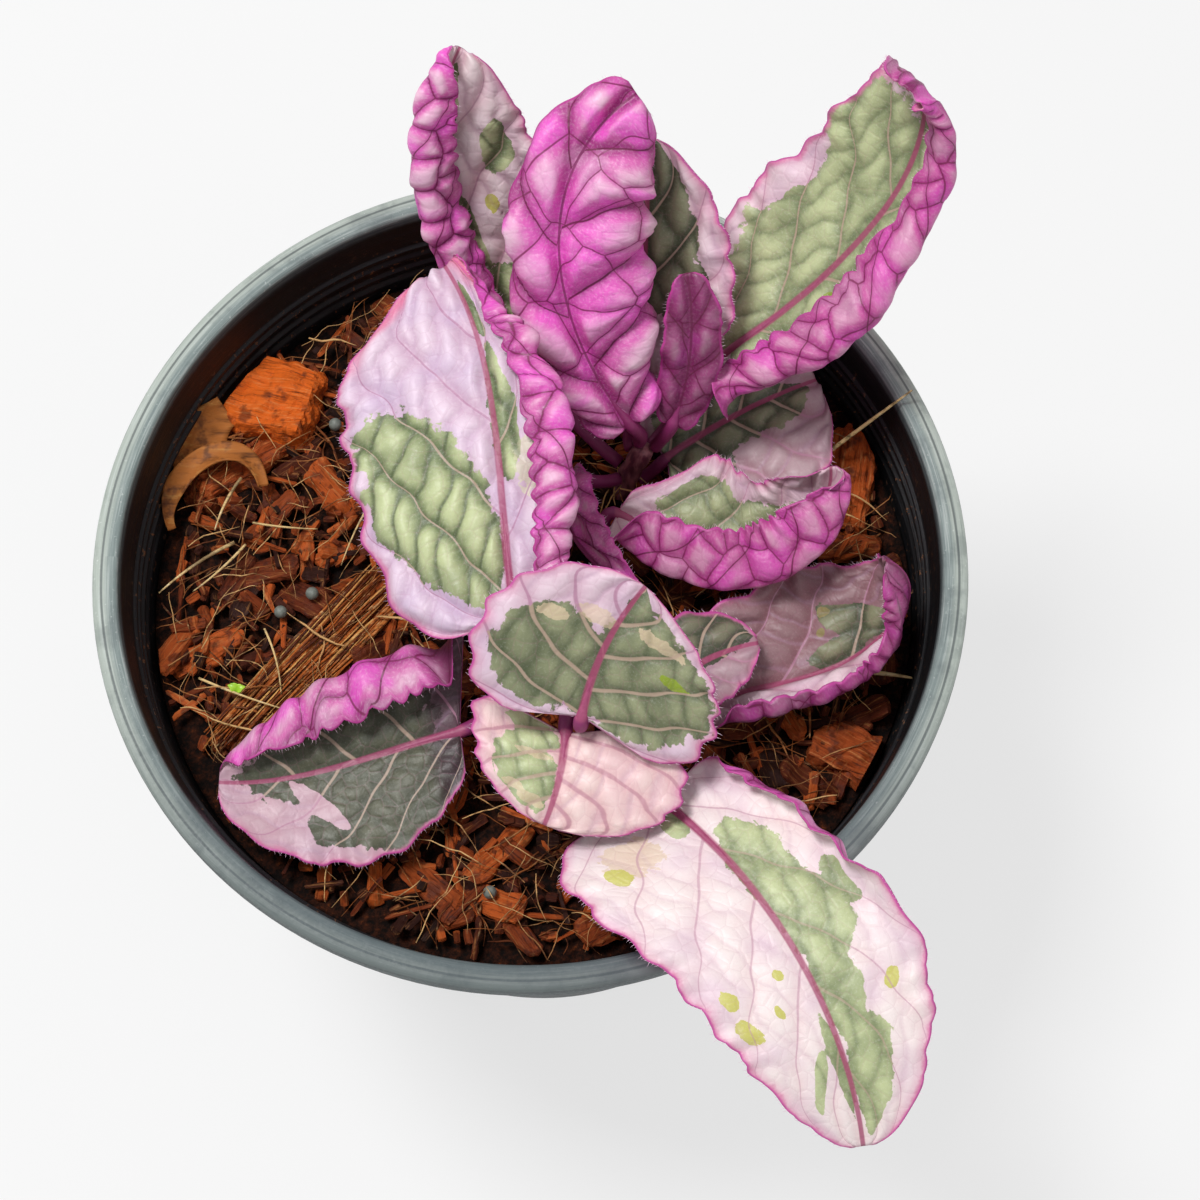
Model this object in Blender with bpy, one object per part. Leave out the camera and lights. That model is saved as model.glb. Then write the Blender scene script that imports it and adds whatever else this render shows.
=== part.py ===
"""A potted purple waffle plant: nursery pot, potting mix, two stems and fifteen puckered leaves.

The origin is on the pot's axis at the bottom of the pot, +Z is up, and the front is towards -Y.
Sizes and points in this file are in millimetres, and the meshes are written in metres.
"""
import math
import random

import bpy
import numpy as np
from mathutils import Matrix, Vector

MM = 0.001

# Pot
POT_HEIGHT = 118.0
LIP_RADIUS = 75.0
LIP_WIDTH = 4.3
LIP_THICKNESS = 1.6
LIP_CHAMFER = 0.8
SKIRT_DROP = 4.0
WALL = 2.0
COLLAR_DROP = 18.0
COLLAR_STEP = 0.8
COLLAR_SWELL = 0.4
BASE_RADIUS = 52.0
POT_SEGMENTS = 40
DRAIN_HOLES = 8
DRAIN_RADIUS = 5.0
DRAIN_CIRCLE = 36.0
DRAIN_SEGMENTS = 12
CUTTER_MARGIN = 2.0

# Potting mix
MIX_TOP = 99.0
MIX_GAP = 0.4
MIX_EDGE_DROP = 1.0
MIX_ROUGHNESS = 1.6
MIX_SEGMENTS = 26
MIX_CIRCLES = 5
MIX_SEED = 11
CHIP_COUNT = 20
CHIP_REACH = 56.0
CHIP_SINK = 0.5
CHIP_LENGTH = (9, 16)
CHIP_WIDTH = (5, 9)
CHIP_THICKNESS = (3, 5)
CHIP_TILT = 14
HUSK_TAPER = 0.8
HUSK_UNEVEN = (0.85, 1.1)

# Large pieces of husk: centre, then length, width and thickness, turn about Z and tilt in degrees.
LARGE_HUSKS = [
    ((-50, 43, 101), (20, 13, 9), -20, 12),
    ((-58, 25, 99.5), (17, 7, 5), 70, 8),
    ((-52, 25, 99.5), (20, 5, 5), 35, -6),
    ((-40, 0, 99.0), (44, 9, 6), 52, 3),
    ((-10, 55, 100), (17, 8, 6), 60, 10),
    ((57, 22, 99.5), (20, 9, 6), 80, 8),
    ((56, -30, 99.5), (15, 9, 6), -30, 8),
    ((20, -57, 99.0), (16, 9, 6), 10, -8),
]

# Stems
STEM_RADIUS = 2.3
STEM_TAPER = 0.2
STEM_SIDES = 8
STEM_RINGS = 9
STEM_DEPTH = 22.0
STEM_HOLE_GAP = 0.35
HOLE_RISE = 6.0

# Petioles: they start this far off the stem's skin, and the handles of their curve are shares of
# the distance to the blade. Two that grow from one tip stand this far to either side of it.
PETIOLE_RADIUS = 1.2
PETIOLE_CLEARANCE = 0.45
PETIOLE_RINGS = 4
PETIOLE_END = 0.8
LEAVE_SHARE = 0.3
ARRIVE_SHARE = 0.25
PAIR_SHIFT = 1.6

# Blades. RIB_SHARE is half the midrib's width as a share of the half blade, and a keel under it
# swells to its full depth over KEEL_RISE of the length. A roll swells over ROLL_RISE, and where the
# half blade is narrower than FULL_ROLL_WIDTH it is less. SCALLOP waves the margin.
BLADE_THICKNESS = 0.9
RIB_DEPTH = 0.8
RIB_SHARE = 0.06
KEEL_RISE = 0.15
SCALLOP = 0.03
LOBE_POWER = 1.3
ROLL_RISE = 0.12
FULL_ROLL_WIDTH = 9.0
ARC_STEPS = 60
FLAT_COLUMNS = (0.38, 0.72)
ROLLED_COLUMNS = (0.0, 0.45, 0.8)
ROLLED_FROM = 60
ROWS_PER_VEIN = 3
FULL_ROWS_END = 0.93
TIP_ROWS = (0.975, 0.995)

# Waffle pillows: side veins run VEIN_SLANT of the length towards the tip on their way to the
# margin, those of the two sides are staggered, and PILLOWS_ACROSS lie between midrib and margin.
VEIN_SLANT = 0.28
VEIN_CURVE = 1.3
VEIN_STAGGER = 0.25
PILLOWS_ACROSS = 3.2
PILLOW_WANDER = 0.5
WANDER_PACE = 2.1
PILLOW_DIP = 0.38
ROW_ROUNDNESS = 0.6
PILLOW_ROUNDNESS = 0.7
QUILT_END = 0.03

# The stems' centre lines, from inside the mix up to the highest leaves.
STEM_PATHS = {
    "stem_back": [(14, 20, MIX_TOP - STEM_DEPTH), (16, 21, 100), (20, 23, 113)],
    "stem_front": [(10, 8, MIX_TOP - STEM_DEPTH), (10, -3, 101), (9, -17, 114), (8.5, -25, 121)],
}


def side(half, fold=10, roll=0, bend=(0.3, 1.0), lobe=0.35):
    """One side of a blade: half-width, slope up from the midrib and further turn towards the margin.

    Angles are in degrees. A pair or more of values runs from the base to the tip. bend is the
    share of the half-width where the turn starts and ends, and lobe is how far the base reaches back.
    """
    return {"half": half, "fold": fold, "roll": roll, "bend": bend, "lobe": lobe}


def leaf(root, rib, face, left, right, veins=6, waffle=1.1, shape=(0.34, 0.6)):
    """One leaf: where it grows, the midrib's points, the way its upper face looks, its two sides.

    root is the stem, the share of the stem's length, and a shift for the pair at a stem's tip.
    veins is the number of side veins on each side, waffle the depth of the pillows, and shape says
    how bluntly the outline swells from the base and narrows to the tip: smaller is blunter.
    """
    return {"root": root, "rib": rib, "face": face, "left": left, "right": right,
            "veins": veins, "waffle": waffle, "shape": shape}


UP = (0, 0, 1)

LEAVES = {
    "leaf_back_left": leaf(
        root=("stem_back", 0.78, 0),
        rib=[(-1, 38, 117), (-11.5, 50.5, 132), (-15.5, 59, 146), (-11, 71, 165)],
        face=[(0.2, -0.5, 1), (0.3, -0.6, 0.8)], shape=(0.34, 0.4),
        left=side((10, 15, 15), fold=(20, 25, 25), roll=(120, 190, 150), bend=(0.2, 0.8), lobe=0.0),
        right=side((17, 19, 17), fold=8, roll=(20, 10, -20))),
    "leaf_erect": leaf(
        root=("stem_back", 1.0, -PAIR_SHIFT),
        rib=[(17, 22.5, 123.5), (7, 34, 141), (6, 47, 157), (18, 60, 168)],
        face=[(0, 0.6, -1), (0, 0.5, -1)], shape=(0.3, 0.35), veins=5, waffle=2.0,
        left=side((11, 17.5, 17.5, 16), fold=-5, roll=(90, 100, 90, 50), bend=(0.3, 1.0), lobe=0.3),
        right=side((9, 9.3, 9.3, 9), fold=-5, roll=(90, 90, 60, 40), bend=(0.3, 1.0), lobe=0.1)),
    "leaf_behind_erect": leaf(
        root=("stem_back", 0.88, 0), rib=[(19.5, 30.5, 120), (19.5, 46, 137), (20.5, 60.5, 154)],
        face=[(0, -0.8, 1)], shape=(0.45, 0.6),
        left=side(15, fold=5), right=side(16, fold=10, roll=20, lobe=0.0)),
    "leaf_back_right": leaf(
        root=("stem_back", 0.93, 0),
        rib=[(31.5, 34, 122), (42.3, 39.2, 131), (53, 45, 141), (61, 51.5, 151), (64.5, 57.5, 160.5),
             (64, 60, 168.5), (60.3, 56.5, 174)],
        face=[(-0.3, -0.3, 1), (-0.4, -0.4, 1), (-0.5, -0.5, 0.7), (-0.5, -0.8, 0.2),
              (-0.3, -0.4, -0.9)],
        shape=(0.3, 0.2), veins=7,
        left=side((23, 24, 17.5, 8), fold=(-15, -12, -8), roll=0, bend=(0.5, 1.0)),
        right=side((22, 26, 15, 11), fold=12, roll=(180, 190, 190), bend=(0.4, 0.85))),
    "leaf_large_left": leaf(
        root=("stem_front", 0.88, 0),
        rib=[(-2, -16, 134), (-4, 2, 138.5), (-7.5, 26, 142), (-14.3, 43.5, 141)],
        face=[(-0.1, -0.3, 1)], shape=(0.36, 0.2), veins=7,
        left=side((31, 28, 26.5, 25, 15), fold=(-8, -6, 4), roll=(-10, -10, 0), lobe=0.4),
        right=side((22, 22, 22, 20, 14.5, 6.5, 6), roll=(180, 190, 190), bend=(0.48, 0.9), lobe=0.2)),
    "leaf_small_curled": leaf(
        root=("stem_back", 1.0, PAIR_SHIFT),
        rib=[(24.6, 23.5, 121.8), (27.3, 32, 133), (26.5, 41.5, 142.5)],
        face=[(0, 0.6, -1), (0, 0.5, -1)], shape=(0.3, 0.35), veins=4, waffle=0.5,
        left=side((4.8, 5.2, 5.2), fold=-6, roll=32), right=side((4.6, 4.8, 4.8), fold=-6, roll=20)),
    "leaf_low_right": leaf(
        root=("stem_back", 0.68, 0), rib=[(24, 24, 106), (34, 30, 108), (51, 38, 109)],
        face=[UP], shape=(0.34, 0.4),
        left=side(14, fold=5), right=side(21, fold=5, lobe=0.6)),
    "leaf_boat": leaf(
        root=("stem_front", 0.48, 0),
        rib=[(15, 10.5, 112), (26.5, 5, 110.5), (38.5, 3, 111.5), (48, 6.5, 117), (51, 13, 127)],
        face=[(0, 0.2, 1), (-0.3, 0.2, 1)], shape=(0.3, 0.35), veins=5,
        left=side((10, 18, 15, 12, 12), fold=30, roll=(0, 10, 30), lobe=0.0),
        right=side((19, 19, 20), fold=0, roll=(130, 140, 140), bend=(0.25, 0.62), lobe=0.1)),
    "leaf_right_cup": leaf(
        root=("stem_front", 0.62, 0),
        rib=[(31, -22.5, 105), (45, -18.5, 105.5), (59, -13, 109), (64.5, -7, 117), (60, -3, 124)],
        face=[(0, 0.1, 1), (-0.6, 0, 1), (-1, 0, 0.2)], shape=(0.3, 0.3),
        left=side((19, 19, 11), fold=15, roll=(30, 30, 10)),
        right=side((13, 11, 11), fold=25, roll=(120, 100, 110), bend=(0.5, 1.0))),
    "leaf_crown": leaf(
        root=("stem_front", 1.0, PAIR_SHIFT), rib=[(9, -35, 137), (12, -27, 143), (19, -18, 150)],
        face=[(0, -0.6, 1)],
        left=side(20, fold=5, lobe=0.15), right=side(21, fold=0, lobe=0.55)),
    "leaf_crown_front": leaf(
        root=("stem_front", 1.0, -PAIR_SHIFT),
        rib=[(6.3, -36, 130.5), (5.5, -43, 131), (3, -50.5, 128.5)],
        face=[(0, -0.2, 1), (0, -0.6, 1)], shape=(0.25, 0.45),
        left=side((18, 20, 17), fold=0, lobe=0.2), right=side((17, 14, 12), fold=0, lobe=0.7)),
    "leaf_front_long": leaf(
        root=("stem_front", 0.88, 0),
        rib=[(22, -45, 123), (32, -56, 128), (44, -75, 131), (52.5, -100, 122)],
        face=[(0.1, 0, 1), (0, -0.1, 1)], shape=(0.25, 0.5), veins=8,
        left=side((16, 18, 20.5, 18), fold=5, roll=(150, 120, 0, 0), bend=(0.65, 0.95), lobe=0.1),
        right=side((25, 19, 17.5), fold=0, lobe=0.5)),
    "leaf_front_left": leaf(
        root=("stem_front", 0.66, 0),
        rib=[(-12, -28.5, 109), (-25, -32, 107.5), (-39, -35.5, 106), (-53, -37, 107)],
        face=[UP, (0.2, 0, 1)], shape=(0.25, 0.45), waffle=1.4,
        left=side((13, 18, 17), fold=0, roll=(0, 0, 30), lobe=0.0),
        right=side((28, 24, 19), fold=18, roll=(160, 170, 150), bend=(0.46, 0.84))),
    "leaf_crinkled": leaf(
        root=("stem_back", 0.75, 0),
        rib=[(6.5, 15, 114), (7, 5, 118), (12, -2.5, 119), (19, -7, 119)],
        face=[(1, 0, 0)], waffle=0.8, veins=5,
        left=side(7, roll=60), right=side(8, roll=100)),
    "leaf_crown_right": leaf(
        root=("stem_front", 0.76, 0), rib=[(24, -22, 115), (31, -17, 114), (39, -14, 113)],
        face=[UP], waffle=0.8, veins=4,
        left=side(9, fold=5), right=side(8, fold=5)),
}

# Colour and roughness of each finish.
FINISHES = {
    "pot_plastic": ((0.035, 0.042, 0.045), 0.35),
    "potting_mix": ((0.22, 0.075, 0.025), 0.95),
    "stem_skin": ((0.16, 0.05, 0.06), 0.6),
    "leaf_blade": ((0.52, 0.42, 0.40), 0.5),
}


def clear_scene():
    """Start from an empty scene."""
    for item in list(bpy.data.objects):
        bpy.data.objects.remove(item, do_unlink=True)


def material(name, finish):
    """A plain Principled material with a finish's colour and roughness."""
    colour, roughness = FINISHES[finish]
    made = bpy.data.materials.new(name)
    made.use_nodes = True
    shader = made.node_tree.nodes["Principled BSDF"]
    shader.inputs["Base Color"].default_value = (*colour, 1.0)
    shader.inputs["Roughness"].default_value = roughness
    made.diffuse_color = (*colour, 1.0)
    return made


def add_object(name, points, faces, finish, sharp_angle=40.0):
    """A mesh object from points in millimetres, shaded smooth except at sharp edges."""
    mesh = bpy.data.meshes.new(name)
    mesh.from_pydata([tuple(float(c) * MM for c in p) for p in points], [], faces)
    mesh.update()
    made = bpy.data.objects.new(name, mesh)
    bpy.context.scene.collection.objects.link(made)
    if finish is not None:
        mesh.materials.append(finish)
    mesh.shade_smooth()
    mesh.set_sharp_from_angle(angle=math.radians(sharp_angle))
    return made


def boolean(target, operation, collection, solver="EXACT"):
    """Apply one Boolean of a whole collection to the target, then remove the collection's objects."""
    cut = target.modifiers.new(operation.lower(), "BOOLEAN")
    cut.operation = operation
    cut.solver = solver
    cut.operand_type = "COLLECTION"
    cut.collection = collection
    depsgraph = bpy.context.evaluated_depsgraph_get()
    result = bpy.data.meshes.new_from_object(target.evaluated_get(depsgraph))
    target.modifiers.remove(cut)
    target.data = result
    for item in list(collection.objects):
        bpy.data.objects.remove(item, do_unlink=True)
    bpy.data.collections.remove(collection)


def gather(name, objects):
    """Move objects out of the scene's own collection into a new linked one."""
    group = bpy.data.collections.new(name)
    bpy.context.scene.collection.children.link(group)
    for item in objects:
        bpy.context.scene.collection.objects.unlink(item)
        group.objects.link(item)
    return group


# Curves and tubes

def unit(vectors):
    """The vectors at length one."""
    return vectors / np.linalg.norm(vectors, axis=-1, keepdims=True)


def along(values, u):
    """Smooth value at each u between 0 and 1, through equally spaced values."""
    values = np.atleast_1d(np.asarray(values, float))
    if len(values) == 1:
        return np.full_like(u, values[0])
    x = np.clip(u, 0, 1) * (len(values) - 1)
    first = np.minimum(x.astype(int), len(values) - 2)
    share = x - first
    share = share * share * (3 - 2 * share)
    return values[first] * (1 - share) + values[first + 1] * share


def smooth_path(points, count=200):
    """A polynomial curve through the points, with the length reached at each of its steps."""
    points = np.asarray(points, float)
    chord = np.r_[0, np.cumsum(np.linalg.norm(np.diff(points, axis=0), axis=1))]
    chord /= chord[-1]
    x = np.linspace(0, 1, count)
    fine = np.column_stack([np.polyval(np.polyfit(chord, points[:, k], len(points) - 1), x)
                            for k in range(3)])
    length = np.r_[0, np.cumsum(np.linalg.norm(np.diff(fine, axis=0), axis=1))]
    return fine, length


def point_along(fine, length, u):
    """Points and unit tangents at shares u of a fine curve's length."""
    at = u * length[-1]
    slope = np.gradient(fine, axis=0)
    point = np.column_stack([np.interp(at, length, fine[:, k]) for k in range(3)])
    tangent = unit(np.column_stack([np.interp(at, length, slope[:, k]) for k in range(3)]))
    return point, tangent


def tube_faces(rings, count):
    """Quads between closed rings of points, and an n-gon at either end."""
    faces = []
    for r in range(rings - 1):
        for k in range(count):
            n = (k + 1) % count
            faces.append((r * count + k, r * count + n, (r + 1) * count + n, (r + 1) * count + k))
    faces.append(tuple(range(count - 1, -1, -1)))
    faces.append(tuple((rings - 1) * count + k for k in range(count)))
    return faces


def tube_rings(point, tangent, radius, sides):
    """Rings of a round tube; radius may be one value or one for each ring."""
    across = unit(np.cross(tangent, (1.0, 0.0, 0.0)))
    other = np.cross(tangent, across)
    turn = np.arange(sides) * 2 * math.pi / sides
    size = np.broadcast_to(radius, len(point))[:, None, None]
    return point[:, None] + size * (across[:, None] * np.cos(turn)[None, :, None]
                                    + other[:, None] * np.sin(turn)[None, :, None])


def stem_centre(name):
    """Points and directions of a stem's rings."""
    return point_along(*smooth_path(STEM_PATHS[name]), np.linspace(0, 1, STEM_RINGS))


def build_stem(name, finish):
    """A round stem along its path, a little narrower at the top."""
    point, tangent = stem_centre(name)
    radius = STEM_RADIUS * (1 - STEM_TAPER * np.linspace(0, 1, STEM_RINGS))
    rings = tube_rings(point, tangent, radius, STEM_SIDES)
    return add_object(name, rings.reshape(-1, 3), tube_faces(STEM_RINGS, STEM_SIDES), finish)


def stem_hole(name):
    """A cutter a little wider and deeper than the stem that stands in it."""
    point, tangent = stem_centre(name)
    count = np.searchsorted(point[:, 2], MIX_TOP + HOLE_RISE) + 1
    point, tangent = point[:count], tangent[:count]
    point[0] -= tangent[0] * STEM_HOLE_GAP
    rings = tube_rings(point, tangent, STEM_RADIUS + STEM_HOLE_GAP, STEM_SIDES)
    return add_object(name + "_hole", rings.reshape(-1, 3), tube_faces(count, STEM_SIDES), None)


# Leaves

def rib_frames(spec, u):
    """Midrib points with the unit vectors along it, to its right and out of the upper face."""
    point, tangent = point_along(*smooth_path(spec["rib"]), u)
    face = np.array(spec["face"], float)
    face = np.column_stack([along(face[:, k], u) for k in range(3)])
    right = unit(np.cross(tangent, face))
    return point, tangent, right, np.cross(right, tangent)


def outline(u, swell, narrow):
    """Half-width of the leaf's outline, as a share of its widest."""
    peak = swell / (swell + narrow)
    widest = peak ** swell * (1 - peak) ** narrow
    return u ** swell * (1 - u) ** narrow / widest


def columns(spec, key):
    """Where the mesh columns lie between the midrib and the margin: closer where the blade rolls."""
    turn = np.max(np.abs(spec[key]["roll"]))
    if turn < ROLLED_FROM:
        between = np.array(FLAT_COLUMNS)
    else:
        start, end = spec[key]["bend"]
        between = start + (end - start) * np.array(ROLLED_COLUMNS)
    return np.r_[RIB_SHARE, between, 1.0]


def half_blade(spec, key, sign, u, shares):
    """Mid surface of one side, an arc across each row that starts at the midrib, and its normals."""
    part = spec[key]
    point, tangent, right, normal = rib_frames(spec, u)
    half = np.maximum(along(part["half"], u) * outline(u, *spec["shape"]), PETIOLE_RADIUS)
    half = half * (1 + SCALLOP * np.cos(2 * np.pi * spec["veins"] * u))
    roll = along(part["roll"], u) * np.clip(half / FULL_ROLL_WIDTH, 0, 1) * along((0, 1), u / ROLL_RISE)
    steps = (np.arange(ARC_STEPS) + 0.5) / ARC_STEPS
    start, end = part["bend"]
    x = np.clip((steps - start) / (end - start), 0, 1)
    turn = (np.radians(along(part["fold"], u))[:, None]
            + np.radians(roll)[:, None] * (x * x * (3 - 2 * x))[None, :])
    zero = np.zeros((len(u), 1))
    across = np.concatenate([zero, np.cumsum(np.cos(turn), 1)], 1) * half[:, None] / ARC_STEPS
    lift = np.concatenate([zero, np.cumsum(np.sin(turn), 1)], 1) * half[:, None] / ARC_STEPS
    at = np.linspace(0, 1, ARC_STEPS + 1)
    grid = np.zeros((len(u), len(shares), 3))
    facing = np.zeros_like(grid)
    for c, share in enumerate(shares):
        sideways = np.array([np.interp(share, at, row) for row in across])
        upward = np.array([np.interp(share, at, row) for row in lift])
        back = part["lobe"] * half * share ** LOBE_POWER * (1 - u) ** 3
        grid[:, c] = (point + sign * right * sideways[:, None] + normal * upward[:, None]
                      - tangent * back[:, None])
        slope = turn[:, min(int(share * ARC_STEPS), ARC_STEPS - 1)][:, None]
        facing[:, c] = normal * np.cos(slope) - sign * right * np.sin(slope)
    return grid, facing


def quilt(spec, u, t):
    """Depth of the waffle pillows, 0 at the side veins and 1 at their crowns."""
    uu, tt = np.meshgrid(u, t, indexing="ij")
    share = np.abs(tt)
    phase = spec["veins"] * (uu - VEIN_SLANT * share ** VEIN_CURVE) + VEIN_STAGGER * (tt > 0)
    cells = PILLOWS_ACROSS * share + PILLOW_WANDER * np.sin(phase * WANDER_PACE)
    rows = np.abs(np.sin(np.pi * phase)) ** ROW_ROUNDNESS
    dips = 1 - np.abs(np.sin(np.pi * cells)) ** PILLOW_ROUNDNESS
    return rows * (1 - PILLOW_DIP * dips)


def blade_faces(spec, u):
    """Upper and lower points of the blade, rows by columns."""
    left = columns(spec, "left")
    right = columns(spec, "right")
    t = np.r_[-left[::-1], right]
    left_mid, left_normal = half_blade(spec, "left", -1, u, left)
    right_mid, right_normal = half_blade(spec, "right", 1, u, right)
    mid = np.concatenate([left_mid[:, ::-1], right_mid], axis=1)
    normal = np.concatenate([left_normal[:, ::-1], right_normal], axis=1)
    fade = np.sqrt(np.sin(np.pi * np.clip(u, QUILT_END, 1 - QUILT_END)))
    mid = mid - normal * (spec["waffle"] * quilt(spec, u, t) * fade[:, None])[..., None]
    swell = np.clip(u / KEEL_RISE, 0, 1) * (1 - u ** 4)
    keel = np.where(np.abs(t) <= RIB_SHARE, RIB_DEPTH, 0.0)[None, :] * swell[:, None]
    upper = mid + normal * BLADE_THICKNESS / 2
    lower = mid - normal * (BLADE_THICKNESS / 2 + keel[..., None])
    return upper, lower, t


def petiole_curve(spec):
    """Four control points from just off the stem's skin to the blade's base."""
    base, tangent, _, _ = (v[0] for v in rib_frames(spec, np.array([0.0, 0.01])))
    stem, share, aside = spec["root"]
    root, way = (v[0] for v in point_along(*smooth_path(STEM_PATHS[stem]), np.array([share, 1.0])))
    reach = base - root
    distance = np.linalg.norm(reach)
    if share < 1:
        out = unit(reach - way * (reach @ way))
        start = root + out * (STEM_RADIUS * (1 - STEM_TAPER * share) + PETIOLE_CLEARANCE)
    else:
        out = unit(way)
        sideways = np.array([1.0, 0.0, 0.0])
        start = root + out * PETIOLE_CLEARANCE + aside * unit(sideways - out * (sideways @ out))
    return np.array([start, start + out * LEAVE_SHARE * distance,
                     base - tangent * ARRIVE_SHARE * distance, base])


def petiole_rings(spec, count):
    """Rings of the petiole from its root to the blade, each with count points over and count under."""
    bends = petiole_curve(spec)
    normal = rib_frames(spec, np.array([0.0, 0.01]))[3][0]
    x = np.linspace(0, PETIOLE_END, PETIOLE_RINGS)[:, None]
    centre = ((1 - x) ** 3 * bends[0] + 3 * x * (1 - x) ** 2 * bends[1]
              + 3 * x ** 2 * (1 - x) * bends[2] + x ** 3 * bends[3])
    ahead = unit((1 - x) ** 2 * (bends[1] - bends[0]) + 2 * x * (1 - x) * (bends[2] - bends[1])
                 + x ** 2 * (bends[3] - bends[2]))
    angle = math.pi * (np.arange(count) + 0.5) / count
    turn = np.r_[math.pi - angle, -angle]
    rings = []
    for middle, way in zip(centre, ahead):
        sideways = unit(np.cross(way, normal))
        upward = np.cross(sideways, way)
        rings.append(middle + PETIOLE_RADIUS * (sideways * np.cos(turn)[:, None]
                                                + upward * np.sin(turn)[:, None]))
    return rings


def build_leaf(name, spec, finish):
    """One closed solid: the petiole's rings run on into the flattened rings of the blade."""
    rows = int(spec["veins"] * ROWS_PER_VEIN)
    u = np.r_[np.linspace(0, FULL_ROWS_END, rows), TIP_ROWS]
    upper, lower, t = blade_faces(spec, u)
    count = len(t)
    rings = petiole_rings(spec, count)
    rings += [np.concatenate([upper[r], lower[r, ::-1]]) for r in range(len(u))]
    around = 2 * count
    faces = []
    for r in range(len(rings) - 1):
        a, b = r * around, (r + 1) * around
        for k in range(around):
            n = (k + 1) % around
            over = k < count - 1 or k == around - 1
            if over:
                faces += [(a + k, b + n, b + k), (a + k, a + n, b + n)]
            else:
                faces += [(a + k, a + n, b + k), (b + k, a + n, b + n)]
    last = (len(rings) - 1) * around
    for k in range(count - 1):
        low = around - 1 - k
        faces.append((k + 1, k, low, low - 1))
        faces.append((last + k, last + k + 1, last + low - 1, last + low))
    return add_object(name, np.concatenate(rings), faces, finish, sharp_angle=60.0)


# Pot

def inside_radius():
    """Radius of the pot's inside, just under the collar."""
    return LIP_RADIUS - LIP_WIDTH - LIP_THICKNESS - COLLAR_STEP


def pot_profile():
    """Half section of the pot from the bottom's edge, up, over the lip and back down inside."""
    outer = LIP_RADIUS - LIP_THICKNESS
    neck = LIP_RADIUS - LIP_WIDTH
    collar = POT_HEIGHT - COLLAR_DROP
    under_lip = POT_HEIGHT - LIP_THICKNESS
    skirt_end = POT_HEIGHT - SKIRT_DROP
    return [
        (BASE_RADIUS, 0.0),
        (inside_radius() + WALL, collar),
        (neck + COLLAR_SWELL, collar + WALL),
        (neck + COLLAR_SWELL, under_lip),
        (outer, under_lip),
        (outer, skirt_end),
        (LIP_RADIUS, skirt_end),
        (LIP_RADIUS, POT_HEIGHT - LIP_CHAMFER),
        (LIP_RADIUS - LIP_CHAMFER, POT_HEIGHT),
        (neck, POT_HEIGHT),
        (neck - LIP_CHAMFER, POT_HEIGHT - LIP_CHAMFER),
        (inside_radius() + COLLAR_STEP, collar + COLLAR_STEP),
        (inside_radius(), collar),
        (BASE_RADIUS - WALL, WALL),
    ]


def turned(name, profile, segments, finish):
    """A solid turned about Z from a half section, with a flat face at either end of the section."""
    count = len(profile)
    points = []
    faces = []
    for s in range(segments):
        angle = 2 * math.pi * s / segments
        points += [(r * math.cos(angle), r * math.sin(angle), z) for r, z in profile]
        one = s * count
        two = (s + 1) % segments * count
        faces += [(one + k, two + k, two + k + 1, one + k + 1) for k in range(count - 1)]
    faces.append(tuple(s * count for s in reversed(range(segments))))
    faces.append(tuple(s * count + count - 1 for s in range(segments)))
    return add_object(name, points, faces, finish)


def drain_cutter(name, angle):
    """A plain cylinder through the pot's floor."""
    profile = [(DRAIN_RADIUS, -CUTTER_MARGIN), (DRAIN_RADIUS, WALL + CUTTER_MARGIN)]
    cutter = turned(name, profile, DRAIN_SEGMENTS, None)
    cutter.location = (DRAIN_CIRCLE * math.cos(angle) * MM, DRAIN_CIRCLE * math.sin(angle) * MM, 0.0)
    cutter.hide_render = True
    cutter.display_type = "WIRE"
    return cutter


def build_pot(finish):
    """The nursery pot, with a ring of drain holes through its floor."""
    pot = turned("pot", pot_profile(), POT_SEGMENTS, finish)
    angles = [2 * math.pi * (k + 0.5) / DRAIN_HOLES for k in range(DRAIN_HOLES)]
    cutters = [drain_cutter(f"drain_{k}", angle) for k, angle in enumerate(angles)]
    boolean(pot, "DIFFERENCE", gather("drains", cutters))
    return pot


# Potting mix

def mix_radius(z):
    """Radius of the pot's inside at a height up to the collar, less the gap."""
    low = BASE_RADIUS - WALL
    share = (z - WALL) / (POT_HEIGHT - COLLAR_DROP - WALL)
    return low + (inside_radius() - low) * share - MIX_GAP


def mix_envelope():
    """The space inside the pot that the mix and its husks may fill."""
    collar = POT_HEIGHT - COLLAR_DROP
    floor = WALL + MIX_GAP
    top = mix_radius(collar)
    profile = [(mix_radius(floor), floor), (top, collar), (top, POT_HEIGHT)]
    return turned("envelope", profile, POT_SEGMENTS, None)


def mix_points(rng):
    """Points of the mix: the floor's centre and circle, then the uneven top's circles and centre."""
    floor = WALL + MIX_GAP
    circles = [(mix_radius(floor), floor, 0.0, 0.0)]
    for c in range(MIX_CIRCLES):
        radius = mix_radius(MIX_TOP) * (MIX_CIRCLES - c) / MIX_CIRCLES
        circles.append((radius, MIX_TOP - MIX_EDGE_DROP, c / 2, MIX_ROUGHNESS if c else 0.0))
    points = [(0.0, 0.0, floor)]
    for radius, height, shift, roughness in circles:
        for s in range(MIX_SEGMENTS):
            angle = 2 * math.pi * (s + shift) / MIX_SEGMENTS
            rise = rng.uniform(-1, 1) * roughness if roughness else 0.0
            points.append((radius * math.cos(angle), radius * math.sin(angle), height + rise))
    points.append((0.0, 0.0, MIX_TOP))
    return points


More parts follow.
